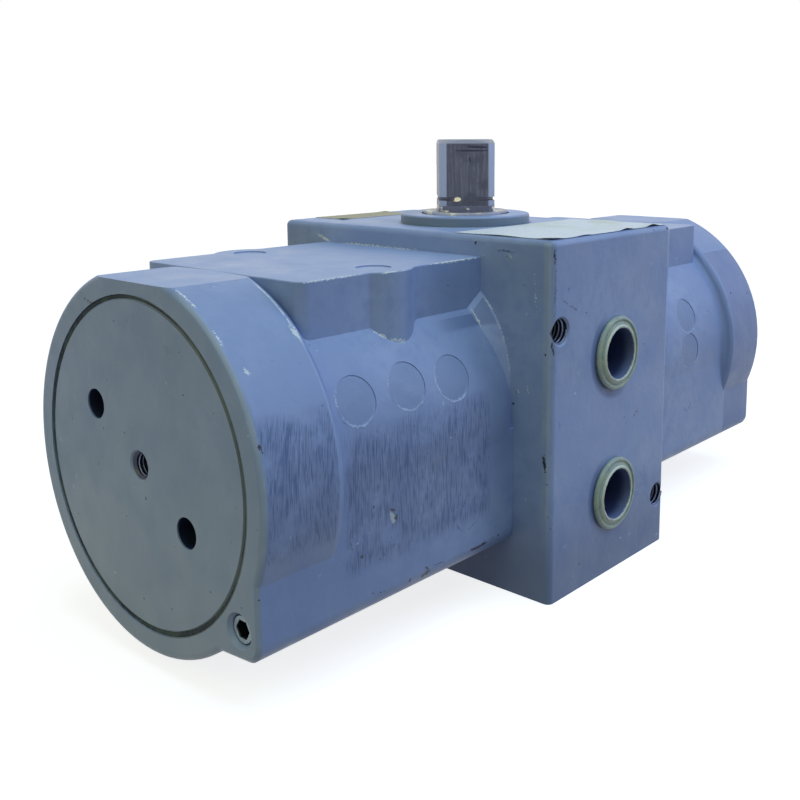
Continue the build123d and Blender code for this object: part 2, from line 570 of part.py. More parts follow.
def output_shaft():
    """Pinion, journals, drive socket and top square, turned and milled from one bar."""
    half_face = PINION_FACE / 2
    shaft = cylinder_z(LOWER_JOURNAL_RADIUS, SHAFT_BOTTOM, LOWER_NECK_START)
    shaft += cylinder_z(SHAFT_NECK_RADIUS, LOWER_NECK_START, SHAFT_SHOULDER)
    shaft += cylinder_z(UPPER_JOURNAL_RADIUS, SHAFT_SHOULDER, JOURNAL_TOP)
    shaft += extrude(Pos(0, 0, AXIS_HEIGHT - half_face) * pinion_outline(), PINION_FACE)
    square = square_bar(SQUARE_ACROSS, JOURNAL_TOP - 1, SHAFT_TOP)
    round_bar = cylinder_z(SQUARE_CORNER_RADIUS, JOURNAL_TOP - 1, SHAFT_TOP)
    round_bar = chamfer(round_bar.edges().group_by(Axis.Z)[-1], SQUARE_TOP_BREAK, SQUARE_TOP_BREAK * 2)
    shaft += square & round_bar
    groove_bottom = BOSS_TOP + CLIP_GROOVE_RISE
    shaft -= ring_z(SQUARE_CORNER_RADIUS + 1, CLIP_GROOVE_RADIUS, groove_bottom, groove_bottom + CLIP_GROOVE_WIDTH)
    for centre, radius in ((LOWER_RING_RISE, LOWER_BORE_RADIUS), (BOSS_TOP - UPPER_RING_DROP, UPPER_BORE_RADIUS)):
        floor = radius - SEAL_PLAY - SHAFT_RING_SECTION
        shaft -= ring_z(radius + 1, floor, centre - SHAFT_RING_GROOVE / 2, centre + SHAFT_RING_GROOVE / 2)
    shaft -= square_bar(DRIVE_SQUARE, SHAFT_BOTTOM - 1, SHAFT_BOTTOM + DRIVE_DEPTH)
    mouth_radius = DRIVE_SQUARE / math.sqrt(2)
    shaft -= Pos(0, 0, SHAFT_BOTTOM) * Cone(mouth_radius + DRIVE_MOUTH_BREAK, mouth_radius - DRIVE_MOUTH_BREAK,
                                            2 * DRIVE_MOUTH_BREAK, align=UPWARD)
    shaft -= Pos(0, 0, SHAFT_TOP - CENTRE_DRILL_DEPTH) * Cone(0, CENTRE_DRILL_RADIUS, CENTRE_DRILL_DEPTH,
                                                              align=UPWARD)
    return shaft


def rack_outline():
    """Rack of the left piston seen from above, with a tooth space centred on x = 0."""
    pitch = math.pi * GEAR_MODULE
    slope = math.tan(math.radians(PRESSURE_ANGLE))
    half = (pitch / 2 - BACKLASH / 2) / 2
    tip = PITCH_RADIUS - GEAR_MODULE
    half_tip = half - GEAR_MODULE * slope
    half_root = half + (RACK_ROOT - PITCH_RADIUS) * slope
    points = [(-PISTON_INNER_FACE - 1, RACK_ROOT)]
    for tooth in range(RACK_TEETH):
        centre = (tooth - RACK_TEETH / 2 + 0.5) * pitch
        points += [(centre - half_root, RACK_ROOT), (centre - half_tip, tip)]
        points += [(centre + half_tip, tip), (centre + half_root, RACK_ROOT)]
    points += [(RACK_END, RACK_ROOT), (RACK_END, BORE_RADIUS), (-PISTON_INNER_FACE - 1, BORE_RADIUS)]
    return make_face(Polyline(*points, close=True))


def left_piston():
    """Piston of the -X cylinder with its rack on the +Y side of the pinion."""
    head = cylinder_x(PISTON_RADIUS, -PISTON_OUTER_FACE, -PISTON_INNER_FACE)
    head = chamfer(head.edges().filter_by(GeomType.CIRCLE), PISTON_EDGE_BREAK)
    head -= cylinder_x(PISTON_DISH_RADIUS, -PISTON_OUTER_FACE - 1, PISTON_DISH_DEPTH - PISTON_OUTER_FACE)
    ring_centre = PISTON_RING_INSET - PISTON_OUTER_FACE
    ring_floor = BORE_RADIUS - SLIDE_CLEARANCE - PISTON_RING_SECTION
    head -= ring_x(BORE_RADIUS + 1, ring_floor, ring_centre - PISTON_RING_WIDTH / 2,
                   ring_centre + PISTON_RING_WIDTH / 2)
    band_start = GUIDE_BAND_INSET - PISTON_OUTER_FACE
    head -= ring_x(BORE_RADIUS + 1, BORE_RADIUS - SLIDE_CLEARANCE - GUIDE_BAND_THICKNESS, band_start - PAD_PLAY,
                   band_start + GUIDE_BAND_WIDTH + PAD_PLAY)
    rack = extrude(Pos(0, 0, AXIS_HEIGHT - RACK_FACE / 2) * rack_outline(), RACK_FACE)
    rack &= cylinder_x(RACK_BACK_RADIUS, -PISTON_INNER_FACE - 1, RACK_END)
    return head + rack - rack_pad_block(BORE_RADIUS + 1, PAD_PLAY)


def rack_pad_block(outer, play):
    """Arched block behind the rack teeth: the pad itself, or its pocket with some play."""
    inner = BORE_RADIUS - SLIDE_CLEARANCE - PAD_THICKNESS
    arch = ring_x(outer, inner, PAD_START - play, PAD_START + PAD_LENGTH + play)
    window = Pos(PAD_START - play, 0, AXIS_HEIGHT) * Box(
        PAD_LENGTH + 2 * play, BORE_RADIUS + 2, PAD_FACE + 2 * play, align=(Align.MIN, Align.MIN, Align.CENTER))
    return arch & window


def guide_band():
    """Split plastic band round the head of the left piston."""
    outer = BORE_RADIUS - SLIDE_CLEARANCE
    start = GUIDE_BAND_INSET - PISTON_OUTER_FACE
    band = ring_x(outer, outer - GUIDE_BAND_THICKNESS, start, start + GUIDE_BAND_WIDTH)
    gap = Pos(start - 1, 0, AXIS_HEIGHT) * Box(
        GUIDE_BAND_WIDTH + 2, GUIDE_BAND_GAP, BORE_RADIUS + 2, align=(Align.MIN, Align.CENTER, Align.MIN))
    return band - gap


def retaining_ring():
    """Internal circlip under the shaft, with an eared gap towards the port face."""
    bottom = RETAINER_START
    top = RETAINER_START + RETAINER_THICKNESS
    outer = LOWER_BUSH_RADIUS + RETAINER_DEPTH
    inner = outer - RETAINER_WIDTH
    ring = ring_z(outer, inner, bottom, top)
    half_gap = RETAINER_GAP_ANGLE / 2
    gap_width = 2 * outer * math.sin(math.radians(half_gap))
    ring -= Pos(0, 0, bottom - 1) * Box(
        gap_width, outer + 1, RETAINER_THICKNESS + 2, align=(Align.CENTER, Align.MAX, Align.MIN))
    ear_circle = LOWER_BUSH_RADIUS - RETAINER_EAR_RADIUS
    ear_angle = half_gap + math.degrees(RETAINER_EAR_RADIUS / ear_circle)
    for side in (-1, 1):
        angle = math.radians(-90 + side * ear_angle)
        x = ear_circle * math.cos(angle)
        y = ear_circle * math.sin(angle)
        ring += cylinder_z(RETAINER_EAR_RADIUS, bottom, top, x, y)
        ring -= cylinder_z(RETAINER_EAR_HOLE, bottom - 1, top + 1, x, y)
    return ring


def across(part):
    """The same piece at the other end, turned half a turn about the shaft."""
    return part.rotate(Axis.Z, 180)


def mirrored(part):
    """The same piece at the other end, mirrored."""
    return mirror(part, about=Plane.YZ)


def all_parts():
    """Every piece by its name."""
    parts = {"housing": housing()}
    cover = end_cover()
    cover_ring = torus_x(COVER_INNER + COVER_RING_INSET, COVER_SEAT_RADIUS, COVER_RING_SECTION)
    wire = lock_wire()
    plug = channel_plug()
    for name, part in (("end_cover", cover), ("cover_o_ring", cover_ring), ("lock_wire", wire),
                       ("channel_plug", plug)):
        parts["left_" + name] = mirrored(part)
        parts["right_" + name] = part
    piston = left_piston()
    ring_centre = PISTON_RING_INSET - PISTON_OUTER_FACE
    piston_ring = torus_x(ring_centre, BORE_RADIUS - SLIDE_CLEARANCE, PISTON_RING_SECTION)
    pad = rack_pad_block(BORE_RADIUS - SLIDE_CLEARANCE, 0)
    band = guide_band()
    for name, part in (("piston", piston), ("piston_o_ring", piston_ring), ("guide_band", band),
                       ("rack_pad", pad)):
        parts["left_" + name] = part
        parts["right_" + name] = across(part)
    parts["upper_port_protector"] = port_protector(AXIS_HEIGHT + UPPER_PORT_RISE)
    parts["lower_port_protector"] = port_protector(AXIS_HEIGHT - LOWER_PORT_DROP)
    parts["output_shaft"] = output_shaft()
    parts["bottom_bush"] = ring_z(LOWER_BUSH_RADIUS, LOWER_BORE_RADIUS, SHAFT_BOTTOM,
                                  SHAFT_BOTTOM + LOWER_BUSH_LENGTH)
    parts["top_bush"] = ring_z(UPPER_BUSH_RADIUS, UPPER_BORE_RADIUS, THRUST_SEAT_HEIGHT,
                               THRUST_SEAT_HEIGHT + UPPER_BUSH_LENGTH)
    parts["top_thrust_ring"] = ring_z(UPPER_BORE_RADIUS + THRUST_RING_WALL, UPPER_BORE_RADIUS,
                                      THRUST_SEAT_HEIGHT - THRUST_RING_THICKNESS, THRUST_SEAT_HEIGHT)
    parts["bottom_thrust_washer"] = ring_z(LOWER_BUSH_RADIUS - THRUST_PLAY, THRUST_WASHER_BORE,
                                           SHAFT_BOTTOM - THRUST_WASHER_THICKNESS, SHAFT_BOTTOM)
    parts["bottom_retaining_ring"] = retaining_ring()
    parts["shaft_bottom_o_ring"] = torus_z(LOWER_RING_RISE, LOWER_BORE_RADIUS - SEAL_PLAY, SHAFT_RING_SECTION)
    parts["shaft_top_o_ring"] = torus_z(BOSS_TOP - UPPER_RING_DROP, UPPER_BORE_RADIUS - SEAL_PLAY,
                                        SHAFT_RING_SECTION)
    return parts


def write_parts():
    """Write one STEP file for each piece."""
    os.makedirs("parts", exist_ok=True)
    for name, part in all_parts().items():
        export_step(part, os.path.join("parts", name + ".step"))


write_parts()
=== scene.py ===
# %% [markdown]
# A rotary actuator: how it gets its looks.
# The real object is a pneumatic actuator. A painted aluminium casting holds two cylinders in line and a
# block between them, and a steel shaft with a square end stands out of the block.
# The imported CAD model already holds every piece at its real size, so this lesson gives the pieces their
# finishes, and models the few small things that the CAD model leaves out.

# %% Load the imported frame
import json
import math

import bpy
from mathutils import Matrix, Vector


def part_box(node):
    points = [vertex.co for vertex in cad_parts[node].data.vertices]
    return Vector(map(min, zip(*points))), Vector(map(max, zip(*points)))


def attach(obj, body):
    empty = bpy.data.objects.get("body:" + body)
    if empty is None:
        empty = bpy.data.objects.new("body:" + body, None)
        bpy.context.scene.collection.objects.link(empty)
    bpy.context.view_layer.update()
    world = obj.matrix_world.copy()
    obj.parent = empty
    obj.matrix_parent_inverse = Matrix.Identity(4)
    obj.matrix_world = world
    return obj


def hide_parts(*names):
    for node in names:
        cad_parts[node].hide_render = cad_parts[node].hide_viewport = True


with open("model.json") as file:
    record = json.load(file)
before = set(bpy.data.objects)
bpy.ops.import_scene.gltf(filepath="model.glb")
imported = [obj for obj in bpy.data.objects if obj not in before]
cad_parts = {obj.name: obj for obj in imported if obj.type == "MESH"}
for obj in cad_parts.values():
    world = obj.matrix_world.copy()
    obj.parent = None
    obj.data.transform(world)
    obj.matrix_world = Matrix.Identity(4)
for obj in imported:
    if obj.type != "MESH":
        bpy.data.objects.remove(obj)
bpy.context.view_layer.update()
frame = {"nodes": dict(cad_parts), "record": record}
nodes = frame["nodes"]
bpy.ops.object.select_all(action="DESELECT")
print("CAD nodes:", len(nodes))

# %% [markdown]
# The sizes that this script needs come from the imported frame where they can. A node's box gives its
# lowest and highest corner in metres, and most sizes below are easier to read in millimetres.

# %% Sizes read from the frame, in millimetres
MM = 0.001


def box_mm(name):
    """Lowest and highest corner of a CAD node in millimetres."""
    low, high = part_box(name)
    return low / MM, high / MM


mounts = {mount["name"]: mount for mount in frame["record"]["mounts"]}


def mount_mm(name):
    """A mount's place in millimetres."""
    return Vector(mounts[name]["pos_m"]) / MM


AXIS_HEIGHT = mount_mm("left_cover_thread").z
PORT_FACE = mount_mm("port_face").y
BLOCK_TOP = mount_mm("top_face").z
BODY_END = box_mm("housing")[0].x
COVER_FACE = mount_mm("left_wrench_holes").x
SHAFT_TOP = box_mm("output_shaft")[1].z
AIR_PORTS = ("upper_air_port", "lower_air_port")
print("axis at", round(AXIS_HEIGHT, 2), "block top", round(BLOCK_TOP, 2), "shaft top", round(SHAFT_TOP, 2))

# %% [markdown]
# The camera stands where the photographer stood: low, in front of the near cylinder's end.
# Its place was worked out from corners and circles of the object, as a point that it looks towards, two
# angles and a distance. The picture was cropped off centre, so the lens is shifted a little.

# %% Camera
CAMERA_TARGET = Vector((-104.0, -78.6, 115.6)) * MM
CAMERA_AZIMUTH = math.radians(-48.6)
CAMERA_ELEVATION = math.radians(8.74)
CAMERA_ROLL = math.radians(-0.24)
CAMERA_DISTANCE = 0.2581
PICTURE_SIDE = 800
FOCAL_PIXELS = 993.9
CENTRE_PIXEL = (440, 290)
SENSOR_MM = 36.0

back = Vector((math.sin(CAMERA_AZIMUTH) * math.cos(CAMERA_ELEVATION),
               -math.cos(CAMERA_AZIMUTH) * math.cos(CAMERA_ELEVATION),
               math.sin(CAMERA_ELEVATION)))
level_right = (-back).cross(Vector((0, 0, 1))).normalized()
level_up = level_right.cross(-back)
right = math.cos(CAMERA_ROLL) * level_right + math.sin(CAMERA_ROLL) * level_up
up = math.cos(CAMERA_ROLL) * level_up - math.sin(CAMERA_ROLL) * level_right
place = CAMERA_TARGET + back * CAMERA_DISTANCE

bpy.ops.object.camera_add()
camera = bpy.context.object
camera.name = "photo_camera"
camera.matrix_world = Matrix((
    (right.x, up.x, back.x, place.x),
    (right.y, up.y, back.y, place.y),
    (right.z, up.z, back.z, place.z),
    (0, 0, 0, 1)))
camera.data.sensor_width = SENSOR_MM
camera.data.lens = FOCAL_PIXELS * SENSOR_MM / PICTURE_SIDE
camera.data.shift_x = (PICTURE_SIDE / 2 - CENTRE_PIXEL[0]) / PICTURE_SIDE
camera.data.shift_y = (CENTRE_PIXEL[1] - PICTURE_SIDE / 2) / PICTURE_SIDE
camera.data.clip_start = 0.01
bpy.context.scene.camera = camera
print("camera at", [round(value / MM) for value in place], "mm, lens", round(camera.data.lens, 1), "mm")

# %% [markdown]
# Colours are written as sRGB hex, the way a paint shop or a colour picker gives them, and Blender's nodes
# want linear values. One function turns the one into the other, and another adds a node with its settings
# and links. Every material below is made with these two. A mask is 1 where something shows and 0 elsewhere,
# and two more functions join masks.

# %% Helpers for colours and nodes


def linear(colour):
    """Linear red, green, blue and alpha of an sRGB hex colour."""
    parts = [int(colour[start:start + 2], 16) / 255 for start in (1, 3, 5)]
    return [part / 12.92 if part <= 0.04045 else ((part + 0.055) / 1.055) ** 2.4 for part in parts] + [1.0]


def add_node(tree, kind, inputs=None, **settings):
    """Add one node: settings are its properties, inputs are values or sockets linked to it."""
    node = tree.nodes.new("ShaderNode" + kind)
    for name, value in settings.items():
        setattr(node, name, value)
    for socket, value in (inputs or {}).items():
        if isinstance(value, bpy.types.NodeSocket):
            tree.links.new(value, node.inputs[socket])
        else:
            node.inputs[socket].default_value = value
    return node


def new_material(name):
    """An empty node material and its tree."""
    material = bpy.data.materials.new(name)
    material.use_nodes = True
    material.node_tree.nodes.clear()
    return material, material.node_tree


def all_of(tree, masks, operation="MULTIPLY"):
    """1 where every mask is 1."""
    total = masks[0]
    for mask in masks[1:]:
        total = add_node(tree, "Math", {0: total, 1: mask}, operation=operation).outputs[0]
    return total


def any_of(tree, masks):
    """1 where at least one mask is 1."""
    return all_of(tree, masks, operation="MAXIMUM")


def finish_material(tree, shader):
    """Link a shader to the material's surface."""
    add_node(tree, "OutputMaterial", {"Surface": shader.outputs[0]})


def both_sides(*names):
    """The names of the left and the right piece of each kind."""
    return [side + name for name in names for side in ("left_", "right_")]


def finish_nodes(names, material):
    """Give CAD nodes their finish."""
    for name in names:
        for slot in nodes[name].material_slots:
            slot.material = material


# %% [markdown]
# The set is a pale floor under soft lamps. In the photo the background is plain white, so the floor and
# the world look white to the camera, while the object itself is lit at a plain level.
# The lamps are large, so their light is soft. A cool lamp overhead gives the top of the object most of the
# light. A second one stands low on the far right, so the block throws a soft shadow on the near cylinder,
# and a warmer, weaker one lights the near end. A dim room fills the rest.

# %% Floor and world
FLOOR_SIDE = 8.0
FLOOR_GLOW_NEAR = 0.80
FLOOR_GLOW_FAR = 1.0
LAMPLIT_REACH = (0.4, 2.4)
ROOM_LIGHT = 0.19


def seen_directly(tree):
    """1 for rays that come straight, or by a mirror or glass, from the camera."""
    rays = add_node(tree, "LightPath").outputs
    return any_of(tree, (rays["Is Camera Ray"], rays["Is Glossy Ray"], rays["Is Transmission Ray"]))


bpy.ops.mesh.primitive_plane_add(size=FLOOR_SIDE)
floor = bpy.context.object
floor.name = "floor"
floor_paint, tree = new_material("white studio floor")
spot_on_floor = add_node(tree, "TexCoord")
reach = add_node(tree, "VectorMath", {0: spot_on_floor.outputs["Object"]}, operation="LENGTH")
glow = add_node(tree, "MapRange", {0: reach.outputs[1], 1: LAMPLIT_REACH[0], 2: LAMPLIT_REACH[1],
                                   3: FLOOR_GLOW_NEAR, 4: FLOOR_GLOW_FAR})
matt = add_node(tree, "BsdfDiffuse", {"Color": linear("#C8C8C8")})
white = add_node(tree, "Emission", {"Color": linear("#FFFFFF"), "Strength": glow.outputs[0]})
lit = add_node(tree, "AddShader", {0: matt.outputs[0], 1: white.outputs[0]})
plain = add_node(tree, "BsdfDiffuse", {"Color": linear("#5C5C5C")})
choice = add_node(tree, "MixShader", {0: seen_directly(tree), 1: plain.outputs[0], 2: lit.outputs[0]})
finish_material(tree, choice)
floor.data.materials.append(floor_paint)

world = bpy.data.worlds.new("studio")
bpy.context.scene.world = world
world.use_nodes = True
tree = world.node_tree
tree.nodes.clear()
white = add_node(tree, "Background", {"Color": linear("#FFFFFF"), "Strength": 1.0})
room = add_node(tree, "Background", {"Color": linear("#F6FBF2"), "Strength": ROOM_LIGHT})
mixed = add_node(tree, "MixShader", {0: seen_directly(tree), 1: room.outputs[0], 2: white.outputs[0]})
add_node(tree, "OutputWorld", {"Surface": mixed.outputs[0]})

# %% Lamps
LAMPS = (
    # name, place in metres, side in metres, power in watts, colour
    ("top_lamp", (0.05, -0.45, 1.25), 1.20, 8.9, "#C4E6FF"),
    ("port_side_lamp", (0.85, -0.80, 0.60), 0.60, 3.6, "#B4CAFF"),
    ("near_end_lamp", (-1.00, -0.10, 0.65), 0.80, 2.0, "#F8FFB0"),
)
LAMP_AIM = Vector((0, 0, 0.06))
for name, lamp_place, side, power, colour in LAMPS:
    bpy.ops.object.light_add(type="AREA", location=lamp_place)
    lamp = bpy.context.object
    lamp.name = name
    lamp.data.size = side
    lamp.data.energy = power
    lamp.data.color = linear(colour)[:3]
    lamp.rotation_euler = (LAMP_AIM - Vector(lamp_place)).to_track_quat("-Z", "Y").to_euler()
    print(name, "at", round((Vector(lamp_place) - LAMP_AIM).length, 2), "m")

scene = bpy.context.scene
scene.view_settings.view_transform = "Standard"

# %% [markdown]
# Most patterns below are set by real sizes, so each material first turns its object coordinates into
# millimetres. The other helpers are a finisher's masks: patches, a range along the piece, round spots and
# thin lines. Layers of colour are then laid over each other in order, each where its mask shows it.

# %% Helpers for patterns
SOFT_STEP = {"interpolation_type": "SMOOTHSTEP", "clamp": False}
# A place times one of these is flattened along that axis
ALONG_X = (0.0, 1.0, 1.0)
ALONG_Y = (1.0, 0.0, 1.0)
ALONG_Z = (1.0, 1.0, 0.0)


def millimetres(tree):
    """Places on the piece in millimetres."""
    metres = add_node(tree, "TexCoord").outputs["Object"]
    return add_node(tree, "Mapping", {"Vector": metres, "Scale": (1 / MM, 1 / MM, 1 / MM)}).outputs[0]


def patches(tree, place, size, low, high, detail=3.0):
    """Irregular patches about this many millimetres across: 0 where the noise is low, 1 where it is high."""
    cloud = add_node(tree, "TexNoise", {
        "Vector": place, "Scale": 1 / size, "Detail": detail, "Roughness": 0.6})
    return add_node(tree, "MapRange", {0: cloud.outputs[0], 1: low, 2: high}, **SOFT_STEP).outputs[0]


def within(tree, value, low, high, fade):
    """1 where a value lies between two limits, fading out beyond them."""
    above = add_node(tree, "MapRange", {0: value, 1: low - fade, 2: low}, **SOFT_STEP)
    below = add_node(tree, "MapRange", {0: value, 1: high + fade, 2: high}, **SOFT_STEP)
    return all_of(tree, (above.outputs[0], below.outputs[0]))


def spots(tree, place, points, edge, flattened=None):
    """1 inside round spots, given as x, y, z and radius in mm, or inside holes along a flattened axis."""
    if flattened:
        place = add_node(tree, "VectorMath", {0: place, 1: flattened}, operation="MULTIPLY").outputs[0]
    total = 0.0
    for x, y, z, radius in points:
        away = add_node(tree, "VectorMath", {0: place, 1: (x, y, z)}, operation="DISTANCE")
        mask = add_node(tree, "MapRange", {0: away.outputs[1], 1: radius + edge, 2: radius}, **SOFT_STEP)
        total = any_of(tree, (mask.outputs[0], total))
    return total


def lines(tree, place, strokes, edge):
    """1 along thin strokes with pointed ends, each given by its two ends and its half width in millimetres.

    The ways from a point to the two ends add up to little more than the stroke's length only near the stroke.
    """
    total = 0.0
    for start, end, half_width in strokes:
        length = (Vector(end) - Vector(start)).length
        inner = math.hypot(length, 2 * half_width)
        outer = math.hypot(length, 2 * (half_width + edge))
        to_start = add_node(tree, "VectorMath", {0: place, 1: start}, operation="DISTANCE")
        to_end = add_node(tree, "VectorMath", {0: place, 1: end}, operation="DISTANCE")
        both = add_node(tree, "Math", {0: to_start.outputs[1], 1: to_end.outputs[1]})
        mask = add_node(tree, "MapRange", {0: both.outputs[0], 1: outer, 2: inner}, **SOFT_STEP)
        total = any_of(tree, (mask.outputs[0], total))
    return total


def away_from_line(tree, place, flattened, point):
    """Millimetres from a line through a point, along the axis in which places are flattened."""
    flat = add_node(tree, "VectorMath", {0: place, 1: flattened}, operation="MULTIPLY")
    return add_node(tree, "VectorMath", {0: flat.outputs[0], 1: point}, operation="DISTANCE").outputs[1]


def one_side(tree, place, centre, towards, starts, full):
    """Millimetres from a centre, and a mask of the side that lies towards a direction."""
    from_centre = add_node(tree, "VectorMath", {0: place, 1: centre}, operation="SUBTRACT").outputs[0]
    away = add_node(tree, "VectorMath", {0: from_centre}, operation="LENGTH").outputs[1]
    ahead = add_node(tree, "VectorMath", {0: from_centre, 1: towards}, operation="DOT_PRODUCT").outputs[1]
    side = add_node(tree, "MapRange", {0: ahead, 1: starts, 2: full}, **SOFT_STEP).outputs[0]
    return away, side


def layered(tree, under, layers):
    """sRGB colours laid over each other: each layer is a mask and the colour that it shows."""
    colour = linear(under)
    for mask, over in layers:
        colour = add_node(tree, "Mix", {0: mask, 6: colour, 7: linear(over)}, data_type="RGBA").outputs[2]
    return colour


def relief(tree, heights):
    """A bump from heights: each is a 0 to 1 pattern and the millimetres that it stands up."""
    total = None
    for pattern, tall in heights:
        step = add_node(tree, "Math", {0: pattern, 1: tall}, operation="MULTIPLY").outputs[0]
        total = step if total is None else add_node(tree, "Math", {0: total, 1: step}).outputs[0]
    return add_node(tree, "Bump", {"Height": total, "Distance": MM}).outputs[0]


# %% [markdown]
# The casting is pressure die-cast aluminium under a coat of blue-grey enamel, sprayed on after the covers
# were in. Enamel is a hard satin coat: it keeps soft, broad highlights, it has a slight orange-peel skin, and
# it rounds off and crusts where it met an edge. Years of handling left dark vertical rub marks on the near
# cylinder, chips down to the dark primer on the block's corner, and small specks everywhere.
# Round marks of the die's ejector pins sit on the cylinders, and the paint pooled round them.
# A node material is the right way here: the marks lie at known places in millimetres, and object
# coordinates keep them there from every side.

# %% Coordinates that follow the cylinders
ENAMEL = "#879BC8"
ENAMEL_LIGHT = "#97AAD2"
PRIMER = "#141A2C"
PAINT_CRUST = "#DCE2EA"
RUB_MARK = "#4A6492"
HOLE_SHADE = "#1B243C"
BARE_ALUMINIUM = "#B9BDC2"


def round_the_cylinders(tree, place):
    """x, y, z, the distance from the cylinders' axis, and the angle from -Y upwards in degrees."""
    parts = add_node(tree, "SeparateXYZ", {0: place})
    rise = add_node(tree, "Math", {0: parts.outputs[2], 1: AXIS_HEIGHT}, operation="SUBTRACT")
    towards = add_node(tree, "Math", {0: parts.outputs[1], 1: -1.0}, operation="MULTIPLY")
    angle = add_node(tree, "Math", {0: rise.outputs[0], 1: towards.outputs[0]}, operation="ARCTAN2")
    degrees = add_node(tree, "Math", {0: angle.outputs[0]}, operation="DEGREES")
    radius = away_from_line(tree, place, ALONG_X, (0.0, 0.0, AXIS_HEIGHT))
    return parts.outputs[0], parts.outputs[1], parts.outputs[2], radius, degrees.outputs[0]


# %% [markdown]
# The marks themselves, in millimetres. Chips are round spots with a ragged edge, scratches and crusts are
# lines. Every place was read off the photo and carried back onto the casting.

# %% Where the marks are
CHIPS = (
    # x, y, z, radius: bare primer on the block's corners, the lug's lower edge and the near end
    (-37.8, -65.3, 85.1, 0.35), (-37.7, -66.6, 41.8, 0.28), (-37.6, -66.9, 30.6, 0.28),
    (-36.9, -67.7, 26.7, 0.25), (25.6, -67.9, 121.4, 0.4), (36.4, -68.0, 68.3, 0.3),
    (36.2, -68.1, 65.8, 0.3), (36.5, -68.0, 63.4, 0.35), (-89.0, -52.8, 22.6, 0.45),
    (-108.9, -52.9, 36.7, 0.4), (-104.8, -52.9, 24.3, 0.28), (-101.5, -52.9, 23.4, 0.25),
    (-100.2, -52.9, 23.2, 0.2), (-46.1, -52.9, 23.4, 0.3), (-103.9, -52.9, 50.1, 0.3),
    (-146.2, 15.1, 84.8, 0.2), (-146.2, -2.7, 52.5, 0.28), (-146.2, 1.2, 20.7, 0.3),
    (-146.2, -13.3, 22.0, 0.22), (-37.8, -36.3, 119.7, 0.45), (-37.8, -49.6, 116.0, 0.28),
    (-37.8, -54.1, 71.1, 0.28), (-37.8, -52.6, 66.8, 0.25), (-20.1, -68.1, 8.9, 0.32),
    (-24.9, -68.1, 5.1, 0.2), (124.8, -52.1, 84.6, 0.45), (140.6, -52.9, 82.8, 0.4),
)
CHIP_STROKES = (
    # start, end, half width
    ((-37.8, -65.1, 51.6), (-37.8, -65.9, 45.4), 0.5), ((-37.1, -67.5, 89.4), (-36.7, -67.8, 85.0), 0.35),
    ((-60.9, -52.8, 22.7), (-56.4, -52.8, 22.5), 0.45), ((-57.0, -52.8, 22.4), (-52.2, -52.85, 23.1), 0.5),
    ((-84.1, -52.5, 21.7), (-79.8, -52.75, 22.6), 0.5), ((-82.3, -52.9, 24.7), (-80.2, -52.9, 22.9), 0.2),
    ((-97.5, -52.9, 47.6), (-94.8, -52.9, 46.5), 0.25), ((-94.5, -52.9, 45.2), (-95.1, -52.9, 43.0), 0.32),
    ((-145.3, -54.1, 78.8), (-144.8, -54.9, 76.6), 0.22),
    ((-36.9, -68.0, 119.5), (-36.6, -68.0, 114.5), 0.3), ((34.6, -68.0, 121.2), (36.6, -67.9, 121.0), 0.5),
    ((36.7, -67.9, 121.0), (36.9, -67.9, 116.5), 0.35), ((146.5, -50.5, 88.0), (146.5, -53.0, 82.5), 0.5),
    ((146.5, -40.5, 101.0), (146.5, -44.0, 97.5), 0.3), ((-146.4, 25.6, 108.3), (-146.3, 18.8, 106.2), 0.3),
)
FINE_SCRATCHES = (
    ((-33.3, -68.1, 103.3), (-28.1, -68.1, 100.3), 0.14),
    ((-28.6, -68.1, 100.5), (-23.4, -68.1, 98.4), 0.14),
    ((-28.9, -68.1, 106.6), (-28.8, -68.1, 105.0), 0.12), ((17.9, -68.1, 57.0), (13.4, -68.1, 53.6), 0.14),
    ((-32.8, -68.1, 62.8), (-33.3, -68.1, 60.0), 0.16), ((-36.3, -68.0, 114.0), (-36.3, -68.0, 97.0), 0.12),
    ((37.1, -67.8, 116.0), (37.1, -67.8, 74.0), 0.12), ((-100.6, -52.9, 35.6), (-99.6, -52.9, 33.8), 0.22),
    ((-102.2, -52.9, 33.9), (-101.2, -52.9, 33.4), 0.18),
    ((-97.2, -52.9, 36.1), (-94.5, -52.9, 36.2), 0.14),
    ((-113.0, -52.9, 46.0), (-113.5, -52.9, 42.9), 0.14),
    ((-113.5, -52.9, 42.9), (-112.3, -52.9, 38.5), 0.16),
    ((-58.7, -52.9, 45.3), (-66.7, -52.9, 35.9), 0.11), ((-68.6, -52.9, 37.4), (-68.2, -52.9, 34.0), 0.13),
    ((-68.2, -52.9, 34.1), (-63.2, -52.9, 29.4), 0.11), ((-63.2, -52.9, 29.5), (-56.2, -52.9, 32.4), 0.09),
    ((-56.2, -52.9, 32.4), (-54.6, -52.9, 40.0), 0.10), ((-78.8, -52.9, 24.1), (-73.3, -52.9, 23.2), 0.12),
    ((-37.8, -45.4, 117.9), (-37.8, -53.3, 117.7), 0.25), ((82.0, -52.9, 40.5), (85.0, -52.9, 37.8), 0.16),
    ((85.0, -52.9, 37.8), (88.5, -52.9, 41.0), 0.14), ((104.0, -50.9, 77.6), (107.0, -50.6, 78.6), 0.16),
)
